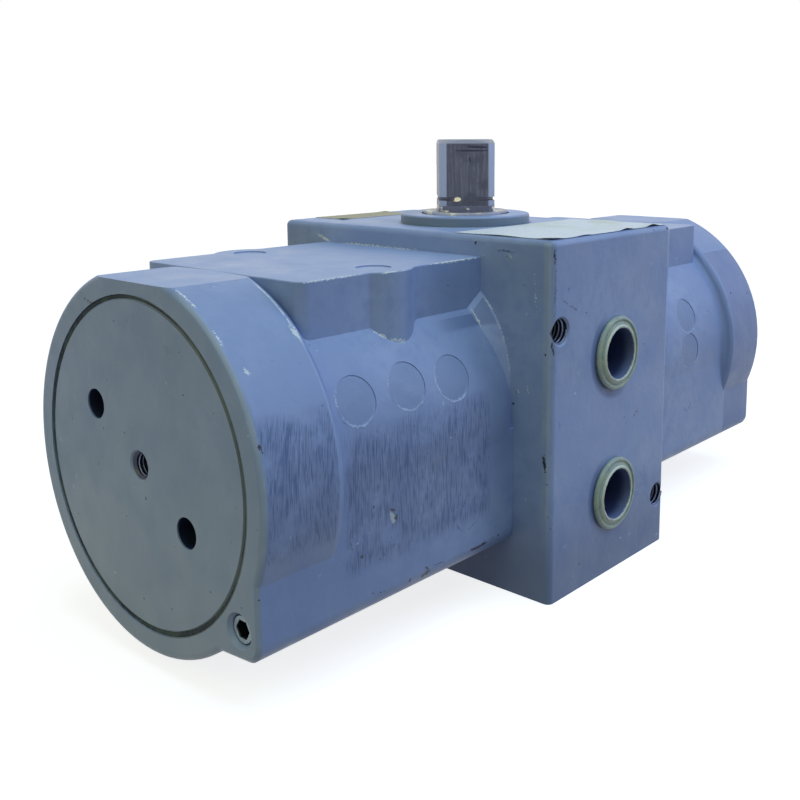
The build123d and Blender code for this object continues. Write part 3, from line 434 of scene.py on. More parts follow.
PALE_STROKES = (
    # lighter paint: sanded spots, bubbles and lines along edges, again start, end, half width
    ((-97.0, -52.9, 46.4), (-95.7, -52.9, 42.8), 0.75), ((-43.9, -39.0, 98.8), (-43.6, -43.6, 92.6), 0.25),
    ((-38.2, -40.5, 101.4), (-37.9, -44.7, 97.0), 0.16), ((-37.9, -44.7, 97.0), (-38.0, -49.2, 86.7), 0.14),
    ((-38.0, -49.2, 86.7), (-37.9, -51.2, 77.1), 0.13), ((-37.8, -54.4, 71.6), (-37.8, -54.9, 71.0), 0.3),
    ((-37.8, -58.2, 73.9), (-37.8, -58.8, 71.3), 0.18),
    ((-37.8, -50.2, 117.0), (-37.8, -51.9, 115.6), 0.25),
    ((-37.8, -35.7, 120.5), (-37.8, -37.2, 119.5), 0.2), ((104.5, -50.7, 78.4), (106.4, -50.9, 77.4), 0.3),
)
CRUST_STROKES = (
    # where the sprayed paint built up along edges
    ((-118.5, -38.3, 115.1), (-92.0, -38.5, 115.2), 0.2),
    ((-91.0, -40.5, 115.2), (-79.0, -42.9, 115.1), 0.3),
    ((-70.5, -41.2, 115.1), (-64.0, -38.7, 115.1), 0.3),
    ((-64.0, -38.5, 115.1), (-39.5, -38.5, 115.1), 0.35),
    ((-41.5, -38.6, 115.2), (-37.9, -40.4, 115.7), 0.6),
    ((-38.1, -14.0, 115.3), (-38.1, 36.0, 115.3), 0.25), ((-38.0, 36.0, 115.3), (-38.0, 43.5, 118.0), 0.35),
    ((-90.0, -39.0, 97.6), (-85.3, -42.0, 94.8), 0.3), ((-85.4, -41.9, 94.9), (-79.0, -43.1, 93.2), 0.45),
    ((-144.9, -19.5, 115.1), (-144.6, -29.0, 110.7), 0.15),
    ((-144.8, -36.0, 105.6), (-144.6, -40.5, 101.5), 0.12),
    ((-142.0, -45.0, 96.5), (-141.4, -46.5, 94.6), 0.4),
    ((-120.7, -38.0, 104.0), (-120.6, -41.6, 100.6), 0.8),
    ((-38.2, -60.5, 117.8), (-38.2, -62.0, 92.0), 0.14),
)
PIN_MARKS = ((-106.8, 21.9), (-85.7, 22.2), (-65.7, 20.8), (86.5, 19.3), (85.4, 3.2))
PIN_MARK_RADIUS = 7.5
BARREL_RADIUS = 53.3
GAP_INNER = 48.4
GAP_OUTER = 49.9
FLANGE_EDGE = -120.5
FLANGE_RADIUS = 57.0
BORE_RADIUS = 45.3
BORE_END = 134.0
BOSS_RADIUS = 24.0
NEAR_END = -145.4  # x that only the near end face lies beyond
FRONT_SIDE = -40.0  # y that only the side towards the camera lies beyond
BLOCK_SIDE = 38.5


def across_y(names, hole_radius):
    """x, y, z and radius of holes that run along Y from their mounts."""
    return [(mount_mm(name).x, 0.0, mount_mm(name).z, hole_radius) for name in names]


END_HOLES = [(0.0, side * 22.2, AXIS_HEIGHT + rise, 4.75) for side in (-1, 1) for rise in (-14.5, 14.5)]
END_HOLES.append((0.0, 0.0, AXIS_HEIGHT, 4.8))
SIDE_HOLES = across_y(("upper_side_thread", "lower_side_thread"), 4.45)

# %% Enamel on the casting
enamel, tree = new_material("sprayed enamel on die-cast aluminium")
place = millimetres(tree)
x, y, z, radius, angle = round_the_cylinders(tree, place)
WOBBLES_PER_MM = 1.3
RAGGEDNESS = 1.5  # millimetres that an edge of a chip or crust wanders
wobble = add_node(tree, "TexNoise", {"Vector": place, "Scale": WOBBLES_PER_MM, "Detail": 1.0})
centred = add_node(tree, "VectorMath", {0: wobble.outputs[1], 1: (0.5, 0.5, 0.5)}, operation="SUBTRACT")
moved = add_node(tree, "VectorMath", {0: centred.outputs[0], "Scale": RAGGEDNESS}, operation="SCALE")
ragged = add_node(tree, "VectorMath", {0: place, 1: moved.outputs[0]}).outputs[0]

# Broad clouds where the coat is thinner or dirtier, and a finer mottle in them
clouds = patches(tree, place, 48.0, 0.35, 0.68)
mottle = patches(tree, place, 5.5, 0.4, 0.72)

# Rub marks: noise squeezed to strokes about a third of a millimetre wide and 6 mm tall, inside two worn
# areas. They lean a little along the cylinder where it curves, so the noise is turned before it is squeezed.
RUB_LEAN = math.radians(48)
leaning = add_node(tree, "Mapping", {"Vector": place, "Rotation": (0.0, 0.0, RUB_LEAN)})
tall = add_node(tree, "Mapping", {"Vector": leaning.outputs[0], "Scale": (1.0, 0.02, 0.05)})
strokes = patches(tree, tall.outputs[0], 0.32, 0.52, 0.70, detail=0.0)
fine_strokes = patches(tree, tall.outputs[0], 0.19, 0.55, 0.74, detail=0.0)
pale_strokes = patches(tree, tall.outputs[0], 0.26, 0.66, 0.80, detail=0.0)
worn = patches(tree, place, 11.0, 0.26, 0.56)
flange_area = all_of(tree, (within(tree, x, -144.0, -121.5, 1.5), within(tree, z, 50.0, 80.0, 6.0)))
barrel_area = all_of(tree, (within(tree, x, -112.0, -54.0, 5.0), within(tree, z, 37.0, 69.0, 7.0)))
front_side = add_node(tree, "Math", {0: y, 1: FRONT_SIDE}, operation="LESS_THAN").outputs[0]
rub_area = all_of(tree, (worn, front_side, any_of(tree, (flange_area, barrel_area))))
rubbed = all_of(tree, (any_of(tree, (strokes, fine_strokes)), rub_area))
polished = all_of(tree, (pale_strokes, rub_area))

# Pin marks: paint that pooled on the lower left of each, and a slightly darker floor
light_rims = floors = 0.0
for mark_x, mark_angle in PIN_MARKS:
    turn = math.radians(mark_angle)
    centre = (mark_x, -BARREL_RADIUS * math.cos(turn), AXIS_HEIGHT + BARREL_RADIUS * math.sin(turn))
    away, side = one_side(tree, ragged, centre, (-0.6, 0.0, -0.8), -2.0, 3.0)
    rim = within(tree, away, PIN_MARK_RADIUS - 0.25, PIN_MARK_RADIUS + 0.15, 0.3)
    light_rims = any_of(tree, (all_of(tree, (rim, side)), light_rims))
    floors = any_of(tree, (within(tree, away, 0.0, PIN_MARK_RADIUS - 1.0, 1.0), floors))
pooled = all_of(tree, (light_rims, patches(tree, place, 6.0, 0.36, 0.55)))

# Crusts and pale lines along the named edges, and along the flange's inner edge
crust_noise = patches(tree, place, 1.6, 0.34, 0.52)
crusted = all_of(tree, (lines(tree, ragged, CRUST_STROKES, 0.3), crust_noise))
pale = all_of(tree, (lines(tree, ragged, PALE_STROKES, 0.2), patches(tree, place, 2.5, 0.25, 0.45)))
on_flange_edge = all_of(tree, (within(tree, x, FLANGE_EDGE, FLANGE_EDGE + 0.3, 0.3),
                               within(tree, radius, FLANGE_RADIUS - 1.4, FLANGE_RADIUS + 0.3, 0.2)))
flange_line = all_of(tree, (on_flange_edge, within(tree, angle, -22.0, 42.0, 6.0),
                            patches(tree, place, 12.0, 0.1, 0.6)))
flange_crust = all_of(tree, (on_flange_edge, within(tree, angle, 44.0, 64.0, 4.0), crust_noise))
# Painted highlight: a lighter line along the rounded outer edge of the near end
outer_edge = all_of(tree, (within(tree, x, BODY_END - 1.0, BODY_END + 1.0, 0.5),
                           within(tree, radius, FLANGE_RADIUS - 0.9, FLANGE_RADIUS + 2.0, 0.5),
                           within(tree, angle, -10.0, 62.0, 8.0), patches(tree, place, 10.0, 0.1, 0.9)))
# Painted highlight: a lighter line down the block's near vertical corner
corner_highlight = all_of(tree, (within(tree, y, -66.2, -65.2, 1.6), within(tree, x, -38.2, -37.4, 0.2),
                            within(tree, z, 34.0, 130.0, 18.0), patches(tree, place, 9.0, 0.1, 1.0)))

# Painted shade: the side of the boss round the shaft is darker and greyer
shaft_radius = away_from_line(tree, place, ALONG_Z, (0.0, 0.0, 0.0))
shaded_boss_side = all_of(tree, (within(tree, shaft_radius, BOSS_RADIUS - 1.0, BOSS_RADIUS + 1.5, 0.4),
                          within(tree, z, BLOCK_TOP - 0.5, BLOCK_TOP + 2.9, 0.5)))

# Chips and scratches, and a few specks of dirt in the coat
chipped = any_of(tree, (spots(tree, ragged, CHIPS, 0.15), lines(tree, ragged, CHIP_STROKES, 0.15)))
scratched = lines(tree, ragged, FINE_SCRATCHES, 0.15)
specks = patches(tree, place, 1.3, 0.875, 0.90, detail=0.0)
pale_specks = patches(tree, ragged, 2.1, 0.86, 0.885, detail=0.0)

# The near end face is dustier: a grey film with smudges
near_end = add_node(tree, "Math", {0: x, 1: NEAR_END}, operation="LESS_THAN").outputs[0]
film = all_of(tree, (near_end, patches(tree, place, 30.0, 0.2, 0.8, detail=2.0)))
smudges = all_of(tree, (near_end, patches(tree, place, 6.0, 0.6, 0.85, detail=5.0)))

# Painted light makes the near end lighter low down, and dirt lies along the right half of the cover's gap
lower_half = add_node(tree, "MapRange", {0: z, 1: 95.0, 2: 10.0}, **SOFT_STEP).outputs[0]
painted_light_low_on_end = all_of(tree, (near_end, lower_half))
right_half = add_node(tree, "MapRange", {0: y, 1: 10.0, 2: -30.0}, **SOFT_STEP).outputs[0]
gap_dirt = all_of(tree, (near_end, within(tree, radius, GAP_INNER - 0.2, GAP_OUTER + 0.2, 0.2), right_half))

# Painted light and pale dust lie on the faces that look up, and half way up the port face is painted lighter
looks_up = add_node(tree, "SeparateXYZ", {0: add_node(tree, "TexCoord").outputs["Normal"]}).outputs[2]
level = add_node(tree, "MapRange", {0: looks_up, 1: 0.95, 2: 0.995}, **SOFT_STEP).outputs[0]
dust_and_top_light = all_of(tree, (level, patches(tree, place, 20.0, 0.0, 0.7)))
# Painted light: a lighter band half way up the port face
painted_light_on_port_face = all_of(tree, (within(tree, y, PORT_FACE - 0.5, PORT_FACE + 0.3, 0.1),
                      within(tree, z, 50.0, 64.0, 16.0)))

# Painted shade: the far flange, and the near pad's corner beside the block where the block's shadow falls,
# are a little darker than the rest
shaded_far_flange = all_of(tree, (front_side, within(tree, x, 121.0, 147.0, 0.8)))
block_shadow_on_pad = all_of(tree, (front_side, within(tree, x, -52.0, -37.0, 14.0),
                           within(tree, x, -70.0, -38.6, 0.3), within(tree, z, 94.0, 114.6, 1.5)))

# Painted shade low on the block, and a painted shadow on the port face to the left of and below each thread
# protector
low = add_node(tree, "MapRange", {0: z, 1: 42.0, 2: 6.0}, **SOFT_STEP).outputs[0]
shade_low_on_block = all_of(tree, (within(tree, x, -BLOCK_SIDE, BLOCK_SIDE, 0.3), low))
# Painted shadows: a ring on the port face to the left of and below each protector
protector_shadows = 0.0
for name in AIR_PORTS:
    away, side = one_side(tree, place, tuple(mount_mm(name)), (-0.9, 0.0, -0.45), -3.0, 8.0)
    protector_shadows = any_of(tree, (all_of(tree, (within(tree, away, 12.0, 15.0, 1.8), side)), protector_shadows))

# Inside, the bores are machined and bare, and the small holes are painted dark with shade
along = add_node(tree, "Math", {0: x}, operation="ABSOLUTE").outputs[0]
machined = all_of(tree, (within(tree, radius, 0.0, BORE_RADIUS, 0.05),
                         within(tree, along, 0.0, BORE_END, 0.05)))
end_holes = all_of(tree, (spots(tree, place, END_HOLES, 0.05, ALONG_X),
                          within(tree, along, 120.0, abs(COVER_FACE) - 0.7, 0.4)))
side_holes = all_of(tree, (spots(tree, place, SIDE_HOLES, 0.05, ALONG_Y),
                           within(tree, y, PORT_FACE + 0.8, PORT_FACE + 20.0, 0.3)))
shade_in_holes = any_of(tree, (end_holes, side_holes))

colour = layered(tree, ENAMEL, (
    (clouds, ENAMEL_LIGHT),
    (mottle, ENAMEL),
    (film, "#869AC0"),
    (smudges, "#7C8EB0"),
    (painted_light_low_on_end, "#95A6C4"),
    (dust_and_top_light, "#96AAD4"),
    (painted_light_on_port_face, "#93A6D2"),
    (shaded_far_flange, "#7688B6"),
    (block_shadow_on_pad, "#7284AE"),
    (shade_low_on_block, "#687AA2"),
    (protector_shadows, "#667AAA"),
    (gap_dirt, "#4C5B62"),
    (shaded_boss_side, "#6F8096"),
    (floors, "#8195BE"),
    (rub_area, "#7A8CB8"),
    (polished, "#93A5CE"),
    (rubbed, RUB_MARK),
    (outer_edge, "#AAB8CC"),
    (corner_highlight, "#A6B3C6"),
    (pooled, "#B6C3E2"),
    (flange_line, "#97A9D6"),
    (any_of(tree, (crusted, flange_crust)), PAINT_CRUST),
    (pale, "#C2CBD2"),
    (scratched, "#50618A"),
    (pale_specks, "#B4C2DE"),
    (specks, "#43517A"),
    (chipped, PRIMER),
    (machined, BARE_ALUMINIUM),
    (shade_in_holes, HOLE_SHADE),
))
PEEL_SIZE = 1.3  # millimetres
LUMP_SIZE = 9.0
peel = add_node(tree, "TexNoise", {"Vector": place, "Scale": 1 / PEEL_SIZE, "Detail": 2.0})
lumps = add_node(tree, "TexNoise", {"Vector": place, "Scale": 1 / LUMP_SIZE, "Detail": 3.0})
skin = relief(tree, ((peel.outputs[0], 0.05), (lumps.outputs[0], 0.35), (light_rims, 0.12)))
gloss = patches(tree, place, 14.0, 0.2, 0.8)
roughness = add_node(tree, "MapRange", {0: gloss, 3: 0.34, 4: 0.52})
finish_material(tree, add_node(tree, "BsdfPrincipled", {
    "Base Color": colour, "Roughness": roughness.outputs[0], "Metallic": machined, "Normal": skin,
    "IOR": 1.5}))
finish_nodes(["housing"] + both_sides("end_cover"), enamel)
print("enamel nodes:", len(tree.nodes))

# %% [markdown]
# Each end cover sits in a ring-shaped gap. Over the years the gap filled with dark grime that stops a
# little below the face, with a greener edge where it meets the cover.
# The ring is a turned shape: a circle is extruded from ring to ring along a small profile, which is how any
# round part is modelled here. It is then given an uneven top, because dirt never settles flat.

# %% A turned piece
SMOOTH_ANGLE = math.radians(35)


def only(obj):
    """Make this object the one that the next operators act on."""
    bpy.ops.object.select_all(action="DESELECT")
    obj.select_set(True)
    bpy.context.view_layer.objects.active = obj


def turned(name, profile, segments=96, solid=False):
    """A round piece on the Z axis from its section's corners, as radius and height in mm.

    The section closes to a ring, or where the piece is solid, its first and last circles are filled.
    """
    bpy.ops.object.select_all(action="DESELECT")
    first_radius, first_height = profile[0]
    bpy.ops.mesh.primitive_circle_add(vertices=segments, radius=first_radius * MM,
                                      location=(0, 0, first_height * MM))
    piece = bpy.context.object
    piece.name = name
    bpy.ops.object.transform_apply()
    bpy.ops.object.mode_set(mode="EDIT")
    bpy.ops.mesh.select_all(action="SELECT")
    after = profile[1:] if solid else profile[1:] + profile[:1]
    for (radius_from, height_from), (radius_to, height_to) in zip(profile, after):
        bpy.ops.mesh.extrude_region_move()
        bpy.ops.transform.translate(value=(0, 0, (height_to - height_from) * MM))
        bpy.ops.transform.resize(value=(radius_to / radius_from, radius_to / radius_from, 1),
                                 center_override=(0, 0, height_to * MM))
    bpy.ops.mesh.select_all(action="SELECT")
    bpy.ops.mesh.remove_doubles(threshold=0.00001)
    if solid:
        bpy.ops.mesh.fill_holes(sides=0)
    bpy.ops.mesh.normals_make_consistent(inside=False)
    bpy.ops.object.mode_set(mode="OBJECT")
    return piece


def set_down(piece, place, turn=(0, 0, 0)):
    """Turn a finished piece, carry it to its place in mm and bake both into its mesh."""
    only(piece)
    piece.rotation_euler = [math.radians(value) for value in turn]
    piece.location = Vector(place) * MM
    bpy.ops.object.transform_apply()
    bpy.ops.object.shade_smooth_by_angle(angle=SMOOTH_ANGLE)


def edit_points(piece, chosen):
    """Start editing a piece with only the points selected that a test chooses."""
    bpy.ops.object.mode_set(mode="EDIT")
    bpy.ops.mesh.select_all(action="DESELECT")
    bpy.ops.object.mode_set(mode="OBJECT")
    for vertex in piece.data.vertices:
        vertex.select = chosen(vertex)
    bpy.ops.object.mode_set(mode="EDIT")


def roughen(piece, above, amount, seed):
    """Push the points above a height in mm about at random, by up to an amount in metres."""
    edit_points(piece, lambda vertex: vertex.co.z > above * MM)
    bpy.ops.transform.vertex_random(offset=amount, seed=seed)
    bpy.ops.object.mode_set(mode="OBJECT")


# %% Grime in the gap round each cover
GRIME_DEPTH = 0.5
GRIME_PROFILE = [(GAP_INNER, -1.4), (GAP_OUTER, -1.4), (GAP_OUTER, 0.0), (49.5, 0.06), (49.1, -0.05),
                 (GAP_INNER, -0.25)]
GRIME_TOP = -0.6
GRIME_LUMP = 0.00008

grime, tree = new_material("packed grime")
place = millimetres(tree)
greener = patches(tree, place, 9.0, 0.45, 0.6)
grit = patches(tree, place, 0.9, 0.35, 0.7, detail=4.0)
colour = layered(tree, "#1E242B", ((grit, "#343D44"), (greener, "#4C5A5A")))
finish_material(tree, add_node(tree, "BsdfPrincipled", {
    "Base Color": colour, "Roughness": 0.9, "Normal": relief(tree, ((grit, 0.12),))}))
for name, face in zip(both_sides("gap_grime"), (-1, 1)):
    ring = turned(name, GRIME_PROFILE, segments=256)
    roughen(ring, GRIME_TOP, GRIME_LUMP, seed=4)
    set_down(ring, (face * (abs(BODY_END) - GRIME_DEPTH), 0, AXIS_HEIGHT), (0, face * 90, 0))
    ring.data.materials.append(grime)
    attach(ring, "housing")
    print(name, "vertices", len(ring.data.vertices))

# %% [markdown]
# Four tapped holes show their threads: one in the middle of each cover, and the two beside the air ports.
# CAD holds each hole at its drilled size, and the thread is a real ridge that winds down inside it.
# A triangle is swept round the hole's axis with the Screw modifier, and its two ends are filled.

# %% A thread inside a hole
THREAD_STEPS = 40
RIDGE_SHARE = 0.44  # radius of the triangle's circle, as a share of the pitch
RIDGE_FLATNESS = 0.62
RIDGE_SINK = 0.12


def inside_thread(name, hole_radius, pitch, turns, depth):
    """A winding ridge on the wall of a hole on the Z axis, with its lowest turn at the given depth."""
    bpy.ops.object.select_all(action="DESELECT")
    bpy.ops.mesh.primitive_circle_add(vertices=3, radius=pitch * RIDGE_SHARE * MM, location=(0, 0, 0))
    piece = bpy.context.object
    piece.name = name
    bpy.ops.object.transform_apply()
    only(piece)
    piece.rotation_euler = (math.radians(90), 0, 0)
    bpy.ops.object.transform_apply()
    bpy.ops.object.mode_set(mode="EDIT")
    bpy.ops.mesh.select_all(action="SELECT")
    bpy.ops.transform.rotate(value=math.radians(90), orient_axis="Y", center_override=(0, 0, 0))
    bpy.ops.transform.resize(value=(RIDGE_FLATNESS, 1, 1), center_override=(0, 0, 0))
    bpy.ops.transform.translate(value=((hole_radius + RIDGE_SINK) * MM, 0, -depth * MM))
    bpy.ops.object.mode_set(mode="OBJECT")
    screw = piece.modifiers.new("winding", "SCREW")
    screw.axis = "Z"
    screw.angle = math.tau
    screw.screw_offset = pitch * MM
    screw.iterations = turns
    screw.steps = screw.render_steps = THREAD_STEPS
    bpy.ops.object.modifier_apply(modifier=screw.name)
    bpy.ops.object.mode_set(mode="EDIT")
    bpy.ops.mesh.select_all(action="DESELECT")
    bpy.ops.mesh.select_mode(type="EDGE")
    bpy.ops.mesh.select_non_manifold()
    bpy.ops.mesh.edge_face_add()
    bpy.ops.mesh.select_mode(type="VERT")
    bpy.ops.mesh.select_all(action="SELECT")
    bpy.ops.mesh.normals_make_consistent(inside=False)
    bpy.ops.object.mode_set(mode="OBJECT")
    return piece


THREADS = (
    # mount of the hole, turn that brings the mouth to face out, hole's radius, pitch, depth
    ("upper_side_thread", (90, 0, 0), 4.25, 1.5, 11.4),
    ("lower_side_thread", (90, 0, 0), 4.25, 1.5, 11.4),
    ("left_cover_thread", (0, -90, 0), 3.4, 1.25, 10.0),
    ("right_cover_thread", (0, 90, 0), 3.4, 1.25, 10.0),
)
MOUTH_DROP = 0.7  # millimetres of countersink above the first turn

thread_metal, tree = new_material("tapped aluminium, oily")
place = millimetres(tree)
oil = patches(tree, place, 2.5, 0.35, 0.65)
parts = add_node(tree, "SeparateXYZ", {0: place}).outputs
along = add_node(tree, "Math", {0: parts[0]}, operation="ABSOLUTE").outputs[0]
# Painted shade: the turns past each mouth are darker
past_side_mouths = add_node(tree, "MapRange", {
    0: parts[1], 1: PORT_FACE + 2.0, 2: PORT_FACE + 5.0}, **SOFT_STEP)
past_cover_mouths = add_node(tree, "MapRange", {
    0: along, 1: abs(COVER_FACE) - 1.8, 2: abs(COVER_FACE) - 4.0}, **SOFT_STEP)
shade_on_deep_turns = all_of(tree, (past_side_mouths.outputs[0], past_cover_mouths.outputs[0]))
colour = layered(tree, "#7F8AA8", ((oil, "#4E5A7C"), (shade_on_deep_turns, "#141B30")))
wet = add_node(tree, "MapRange", {0: oil, 3: 0.42, 4: 0.24})
finish_material(tree, add_node(tree, "BsdfPrincipled", {
    "Base Color": colour, "Metallic": 0.4, "Roughness": wet.outputs[0],
    "Normal": relief(tree, ((oil, 0.03),))}))
for mount, turn, hole_radius, pitch, depth in THREADS:
    mouth = mount_mm(mount)
    if "side" in mount:
        mouth.y = PORT_FACE
    else:
        mouth.x = math.copysign(COVER_FACE, mouth.x)
    turns = int((depth - MOUTH_DROP) / pitch)
    ridge = inside_thread(mount + "_ridge", hole_radius, pitch, turns, depth)
    set_down(ridge, mouth, turn)
    ridge.data.materials.append(thread_metal)
    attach(ridge, "housing")
    print(ridge.name, "vertices", len(ridge.data.vertices))

# %% [markdown]
# The air ports are closed with thread protectors: soft polyethylene caps, pushed in by hand. The plastic is
# milky and lets some light through, so its flange looks pale and greenish, and its bore is painted dark with
# shade. Its inner lip was torn a little by the knife that opened the mould.
# The imported caps have plain flanges, so these turned ones stand for them.

# %% Thread protectors
PROTECTOR_PROFILE = [
    (9.4, -12.0), (10.2, -11.0), (10.2, 0.04), (12.6, 0.04), (13.0, 0.3), (13.1, 0.8), (12.95, 1.3),
    (12.5, 1.7), (12.05, 1.76), (11.75, 1.6), (11.6, 1.3), (11.2, 1.26), (11.0, 1.5), (10.6, 1.74),
    (10.15, 1.8), (9.9, 2.05), (9.65, 2.3), (9.25, 2.28), (9.0, 2.0), (8.9, 1.4), (8.75, -10.2), (8.2, -10.8)]
PROTECTOR_BORE = 8.95
LIP_HEIGHT = 1.9
LIP_TEAR = 0.00016

cap_plastic, tree = new_material("milky polyethylene")
place = millimetres(tree)
depth = add_node(tree, "SeparateXYZ", {0: place}).outputs[1]
in_bore = spots(tree, place, across_y(AIR_PORTS, PROTECTOR_BORE), 0.25, ALONG_Y)
not_in_bore = add_node(tree, "Math", {0: 1.0, 1: in_bore}, operation="SUBTRACT").outputs[0]
outside = all_of(tree, (within(tree, depth, PORT_FACE - 4.0, PORT_FACE - 0.4, 1.2), not_in_bore))
lip = within(tree, depth, PORT_FACE - 3.0, PORT_FACE - 1.95, 0.2)
# Painted shade deep in the bore
shade_deep_in_bore = within(tree, depth, PORT_FACE + 3.0, PORT_FACE + 14.0, 4.0)
dirt = patches(tree, place, 3.0, 0.5, 0.75, detail=5.0)
rings = add_node(tree, "TexNoise", {"Vector": place, "Scale": 1 / 2.2, "Detail": 3.0})
colour = layered(tree, "#6C7AA2", (
    (outside, "#9DADA2"),
    (shade_deep_in_bore, "#38446C"),
    (all_of(tree, (outside, patches(tree, place, 4.0, 0.5, 0.62))), "#AEB9A4"),
    (all_of(tree, (outside, dirt)), "#85948F"),
    (all_of(tree, (lip, not_in_bore)), "#E0E6D6"),
))
finish_material(tree, add_node(tree, "BsdfPrincipled", {
    "Base Color": colour, "Roughness": 0.42, "IOR": 1.51, "Subsurface Weight": 0.15,
    "Subsurface Radius": (0.001, 0.0012, 0.001), "Transmission Weight": 0.05,
    "Normal": relief(tree, ((rings.outputs[0], 0.12),))}))
for name in ("upper_port_protector", "lower_port_protector"):
    low, high = box_mm(name)
    cap = turned(name + "_cap", PROTECTOR_PROFILE, solid=True)
    roughen(cap, LIP_HEIGHT, LIP_TEAR, seed=len(name))
    set_down(cap, ((low.x + high.x) / 2, PORT_FACE, (low.z + high.z) / 2), (90, 0, 0))
    cap.data.materials.append(cap_plastic)
    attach(cap, "housing")
    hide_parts(name)
    print(cap.name, "vertices", len(cap.data.vertices))

# %% [markdown]
# The shaft is turned and milled carbon steel. Its square was blackened by air and handling, so the flats
# are a dark violet grey with fine lengthwise marks, and the corners, where a lever rubs, are polished
# brighter. Below the square, the round journal is ground and shines under a film of oil; its yellow spots are
# partly oil and partly painted glints, and a cream spot by the groove is a painted glint.
# The shaft is one CAD solid, so one material tells its zones apart by height and distance from its axis.

# %% Steel of the shaft
SHAFT_DARK = "#4C4E5C"
SHAFT_EDGE = "#808CA4"
JOURNAL = "#A4A9B4"

shaft_steel, tree = new_material("handled carbon steel")
place = millimetres(tree)
parts = add_node(tree, "SeparateXYZ", {0: place})
height = parts.outputs[2]
from_centre = away_from_line(tree, place, ALONG_Z, (0.0, 0.0, 0.0))
SQUARE_FOOT = BLOCK_TOP + 4.8
SQUARE_CORNER = 13.3
on_square = within(tree, height, SQUARE_FOOT, SHAFT_TOP + 1.0, 0.3)
corner = all_of(tree, (on_square, within(tree, from_centre, SQUARE_CORNER - 0.1, SQUARE_CORNER + 1.0, 0.15)))
top_break = within(tree, height, SHAFT_TOP - 1.3, SHAFT_TOP + 1.0, 0.5)
lengthwise = add_node(tree, "Mapping", {"Vector": place, "Scale": (1.0, 1.0, 0.04)})
drawn = patches(tree, lengthwise.outputs[0], 0.7, 0.42, 0.62, detail=4.0)
stain = patches(tree, place, 6.0, 0.42, 0.7, detail=5.0)
# Yellow spots on the journal: oil, and in part painted glints
yellow = all_of(tree, (within(tree, height, BLOCK_TOP + 1.5, SQUARE_FOOT + 1.2, 0.8),
                       patches(tree, place, 4.5, 0.56, 0.64)))
groove = within(tree, height, SQUARE_FOOT - 0.1, SQUARE_FOOT + 1.9, 0.15)
scuffs = all_of(tree, (on_square, lines(tree, place, (
    ((-10.8, -4.0, SHAFT_TOP - 4.2), (-1.9, -12.9, SHAFT_TOP - 4.2), 0.18),
    ((-7.6, -7.2, SHAFT_TOP - 2.7), (-2.2, -12.6, SHAFT_TOP - 3.0), 0.35),
    ((-6.8, -8.0, SHAFT_TOP - 6.5), (-6.7, -8.1, SHAFT_TOP - 8.6), 0.16)), 0.25)))
# A painted glint: a cream spot by the groove
painted_glint = lines(tree, place, (((-11.3, -3.5, SHAFT_TOP - 22.3), (-9.3, -5.5, SHAFT_TOP - 22.3), 0.7),), 0.25)
colour = layered(tree, JOURNAL, (
    (on_square, SHAFT_DARK),
    (all_of(tree, (on_square, drawn)), "#5C606E"),
    (all_of(tree, (on_square, stain)), "#464956"),
    (corner, SHAFT_EDGE),
    (top_break, "#7F8899"),
    (scuffs, "#343746"),
    (groove, "#5B6072"),
    (yellow, "#CFCFBC"),
    (painted_glint, "#D6D0B2"),
))
roughness = add_node(tree, "MapRange", {0: drawn, 3: 0.30, 4: 0.44})
finish_material(tree, add_node(tree, "BsdfPrincipled", {
    "Base Color": colour, "Metallic": 1.0, "Roughness": roughness.outputs[0],
    "Normal": relief(tree, ((drawn, 0.02), (stain, 0.02), (scuffs, -0.03)))}))
finish_nodes(["output_shaft"], shaft_steel)

# %% [markdown]
# A rubber wiper fills the gap between the shaft and its boss, and keeps dirt off the seal below it.
# It could be a plain ring, but a turned section rounds its top edge, which is the part that shows.

# %% Wiper round the shaft
BOSS_TOP = BLOCK_TOP + 3.6
WIPER_PROFILE = [(16.3, -2.9), (17.0, -2.9), (17.0, -0.5), (16.8, -0.3), (16.55, -0.35), (16.3, -0.8)]
wiper_rubber, tree = new_material("nitrile rubber")
place = millimetres(tree)
dust = patches(tree, place, 2.4, 0.45, 0.75, detail=4.0)
finish_material(tree, add_node(tree, "BsdfPrincipled", {
    "Base Color": layered(tree, "#16181D", ((dust, "#3A3F48"),)), "Roughness": 0.65,
    "Normal": relief(tree, ((dust, 0.04),))}))
wiper = turned("shaft_wiper", WIPER_PROFILE)
set_down(wiper, (0, 0, BOSS_TOP))
wiper.data.materials.append(wiper_rubber)
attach(wiper, "housing")

# %% [markdown]
# The hexagon-socket plugs that close the air channel are zinc-plated steel, over-sprayed thinly when the
# casting was painted, and dirt sits round their edges; their sockets are painted dark with dirt and shade.
# The plugs are CAD nodes, so a material gives them their finish, and the dirt round each is a small turned
# ring.

# %% Channel plugs
plug_steel, tree = new_material("over-sprayed zinc-plated steel")
place = millimetres(tree)
PLUG_PLACE = Vector((0, -44.8, AXIS_HEIGHT - 35.5))
socket_depth = add_node(tree, "Math", {0: add_node(tree, "SeparateXYZ", {0: place}).outputs[0]},
                        operation="ABSOLUTE").outputs[0]
# Dirt and painted shade in the hex socket
dirt_and_shade_in_socket = within(tree, socket_depth, 130.0, 144.6, 0.25)
outer_edge = within(tree, away_from_line(tree, place, ALONG_X, tuple(PLUG_PLACE)), 3.9, 6.0, 0.2)
spray = patches(tree, place, 1.6, 0.4, 0.7, detail=4.0)
colour = layered(tree, "#77858C", (
    (spray, "#8D9AA3"), (outer_edge, "#4A545C"), (dirt_and_shade_in_socket, "#1E242C")))
finish_material(tree, add_node(tree, "BsdfPrincipled", {
    "Base Color": colour, "Metallic": 0.7, "Roughness": 0.42, "Normal": relief(tree, ((spray, 0.05),))}))
finish_nodes(both_sides("channel_plug"), plug_steel)

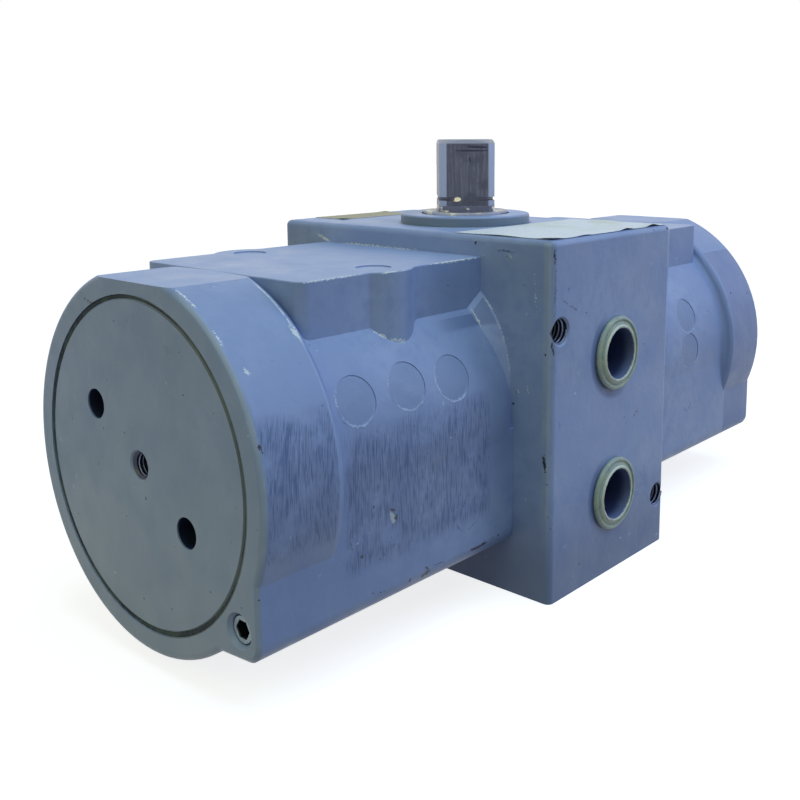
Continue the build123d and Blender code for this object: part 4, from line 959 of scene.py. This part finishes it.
SEAM_PROFILE = [(4.15, -1.0), (5.15, -1.0), (5.15, -0.1), (4.7, 0.02), (4.15, -0.05)]
SEAM_DEPTH = 1.6
for name, face in zip(both_sides("channel_plug_grime"), (-1, 1)):
    seam = turned(name, SEAM_PROFILE, segments=64)
    set_down(seam, (face * (abs(BODY_END) - SEAM_DEPTH), PLUG_PLACE.y, PLUG_PLACE.z), (0, face * 90, 0))
    seam.data.materials.append(grime)
    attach(seam, "housing")

# %% [markdown]
# Two bare paper labels lie on the block's top.
# The front one has come loose at its corners and along its front edge: a grid of faces is lifted there
# with proportional editing, as one bends paper by hand, and then gets the paper's thickness.

# %% Paper labels
PAPER = 0.12
PAPER_GAP = 0.04
paper, tree = new_material("aged label paper")
place = millimetres(tree)
aged = patches(tree, place, 16.0, 0.4, 0.65)
fibre = patches(tree, place, 0.8, 0.3, 0.7, detail=4.0)
spots_of_dirt = patches(tree, place, 2.6, 0.66, 0.74, detail=4.0)
flat_x = add_node(tree, "SeparateXYZ", {0: place}).outputs[0]
toward_right = within(tree, flat_x, 4.0, 60.0, 18.0)
colour = layered(tree, "#F4F4FF", (
    (all_of(tree, (aged, toward_right)), "#D3D7C2"), (fibre, "#E2E6E8"), (spots_of_dirt, "#A2AAA8")))
finish_material(tree, add_node(tree, "BsdfPrincipled", {
    "Base Color": colour, "Roughness": 0.55, "Normal": relief(tree, ((fibre, 0.03), (aged, 0.1)))}))

tan_paper, tree = new_material("tan kraft paper")
place = millimetres(tree)
aged = patches(tree, place, 7.0, 0.4, 0.7)
fibre = patches(tree, place, 0.7, 0.3, 0.7, detail=4.0)
finish_material(tree, add_node(tree, "BsdfPrincipled", {
    "Base Color": layered(tree, "#C2B698", ((aged, "#A89C82"), (fibre, "#CBC0A6"))), "Roughness": 0.8,
    "Normal": relief(tree, ((fibre, 0.04),))}))


def label(name, low, high, columns, rows, lifts, material):
    """A paper label between two corners in mm; each lift is a point on it, its height and its reach."""
    bpy.ops.object.select_all(action="DESELECT")
    bpy.ops.mesh.primitive_grid_add(x_subdivisions=columns, y_subdivisions=rows, size=1, location=(0, 0, 0))
    piece = bpy.context.object
    piece.name = name
    bpy.ops.object.mode_set(mode="EDIT")
    bpy.ops.transform.resize(value=((high[0] - low[0]) * MM, (high[1] - low[1]) * MM, 1),
                             center_override=(0, 0, 0))
    bpy.ops.transform.translate(value=((low[0] + high[0]) / 2 * MM, (low[1] + high[1]) / 2 * MM,
                                       (BLOCK_TOP + PAPER_GAP) * MM))
    bpy.ops.object.mode_set(mode="OBJECT")
    for (lift_x, lift_y), rise, reach in lifts:
        spot = Vector((lift_x, lift_y)) * MM
        nearest = min(piece.data.vertices, key=lambda vertex: (vertex.co.xy - spot).length).index
        edit_points(piece, lambda vertex: vertex.index == nearest)
        bpy.ops.transform.translate(value=(0, 0, rise * MM), use_proportional_edit=True,
                                    proportional_edit_falloff="SMOOTH", proportional_size=reach * MM)
        bpy.ops.object.mode_set(mode="OBJECT")
    thick = piece.modifiers.new("paper", "SOLIDIFY")
    thick.thickness = PAPER * MM
    thick.offset = 1.0
    only(piece)
    bpy.ops.object.modifier_apply(modifier=thick.name)
    bpy.ops.object.shade_smooth_by_angle(angle=SMOOTH_ANGLE)
    piece.data.materials.append(material)
    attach(piece, "housing")
    tallest = max(vertex.co.z for vertex in piece.data.vertices) / MM
    print(name, "stands", round(tallest - BLOCK_TOP, 2), "mm above the block")


FRONT_LIFTS = (
    ((-36, -67), 0.6, 8.0), ((-18, -67), 0.3, 6.0), ((8, -67), 0.6, 6.0), ((27, -67), 0.8, 6.0),
    ((-36, -45), 0.25, 12.0), ((36, -40), 0.4, 8.0),
)
BACK_LIFTS = (((-23, 44), 0.4, 5.0), ((18, 61), 0.3, 5.0))
label("front_label", (-36.3, -66.8), (35.6, -26.0), 56, 32, FRONT_LIFTS, paper)
label("back_label", (-23.0, 44.0), (18.0, 61.0), 32, 14, BACK_LIFTS, tan_paper)

# %% [markdown]
# The pieces inside get the finishes that they have in such an actuator: machined aluminium pistons, black
# rubber rings, brown bearing plastic, spring steel wires and rings, and plain bearings. The casting hides
# them, so each material is simple: a colour, one or two layers over it and a fine relief.

# %% Materials of the inner pieces
piston_metal, tree = new_material("machined cast aluminium")
place = millimetres(tree)
turned_marks = add_node(tree, "Mapping", {"Vector": place, "Scale": (1.0, 0.03, 0.03)})
tool_lines = patches(tree, turned_marks.outputs[0], 0.5, 0.4, 0.6, detail=2.0)
oil_film = patches(tree, place, 12.0, 0.4, 0.7)
roughness = add_node(tree, "MapRange", {0: oil_film, 3: 0.40, 4: 0.22})
finish_material(tree, add_node(tree, "BsdfPrincipled", {
    "Base Color": layered(tree, "#B4B8BD", ((tool_lines, "#A5A9B0"), (oil_film, "#9C9E9C"))),
    "Metallic": 1.0, "Roughness": roughness.outputs[0], "Normal": relief(tree, ((tool_lines, 0.02),))}))

spring_metal, tree = new_material("phosphated spring steel")
place = millimetres(tree)
film = patches(tree, place, 2.0, 0.4, 0.65, detail=4.0)
finish_material(tree, add_node(tree, "BsdfPrincipled", {
    "Base Color": layered(tree, "#4A4D52", ((film, "#5E6166"),)), "Metallic": 0.9, "Roughness": 0.48,
    "Normal": relief(tree, ((film, 0.02),))}))

bearing_plastic, tree = new_material("filled bearing plastic")
place = millimetres(tree)
flecks = patches(tree, place, 0.8, 0.45, 0.6, detail=4.0)
finish_material(tree, add_node(tree, "BsdfPrincipled", {
    "Base Color": layered(tree, "#6B5A45", ((flecks, "#7C6A52"),)), "Roughness": 0.5,
    "Normal": relief(tree, ((flecks, 0.02),))}))

finish_nodes(both_sides("piston"), piston_metal)
finish_nodes(both_sides("lock_wire") + ["bottom_retaining_ring", "bottom_thrust_washer"], spring_metal)
finish_nodes(both_sides("guide_band", "rack_pad") + ["top_bush", "bottom_bush", "top_thrust_ring"],
             bearing_plastic)
finish_nodes(both_sides("piston_o_ring", "cover_o_ring") + ["shaft_top_o_ring", "shaft_bottom_o_ring"],
             wiper_rubber)
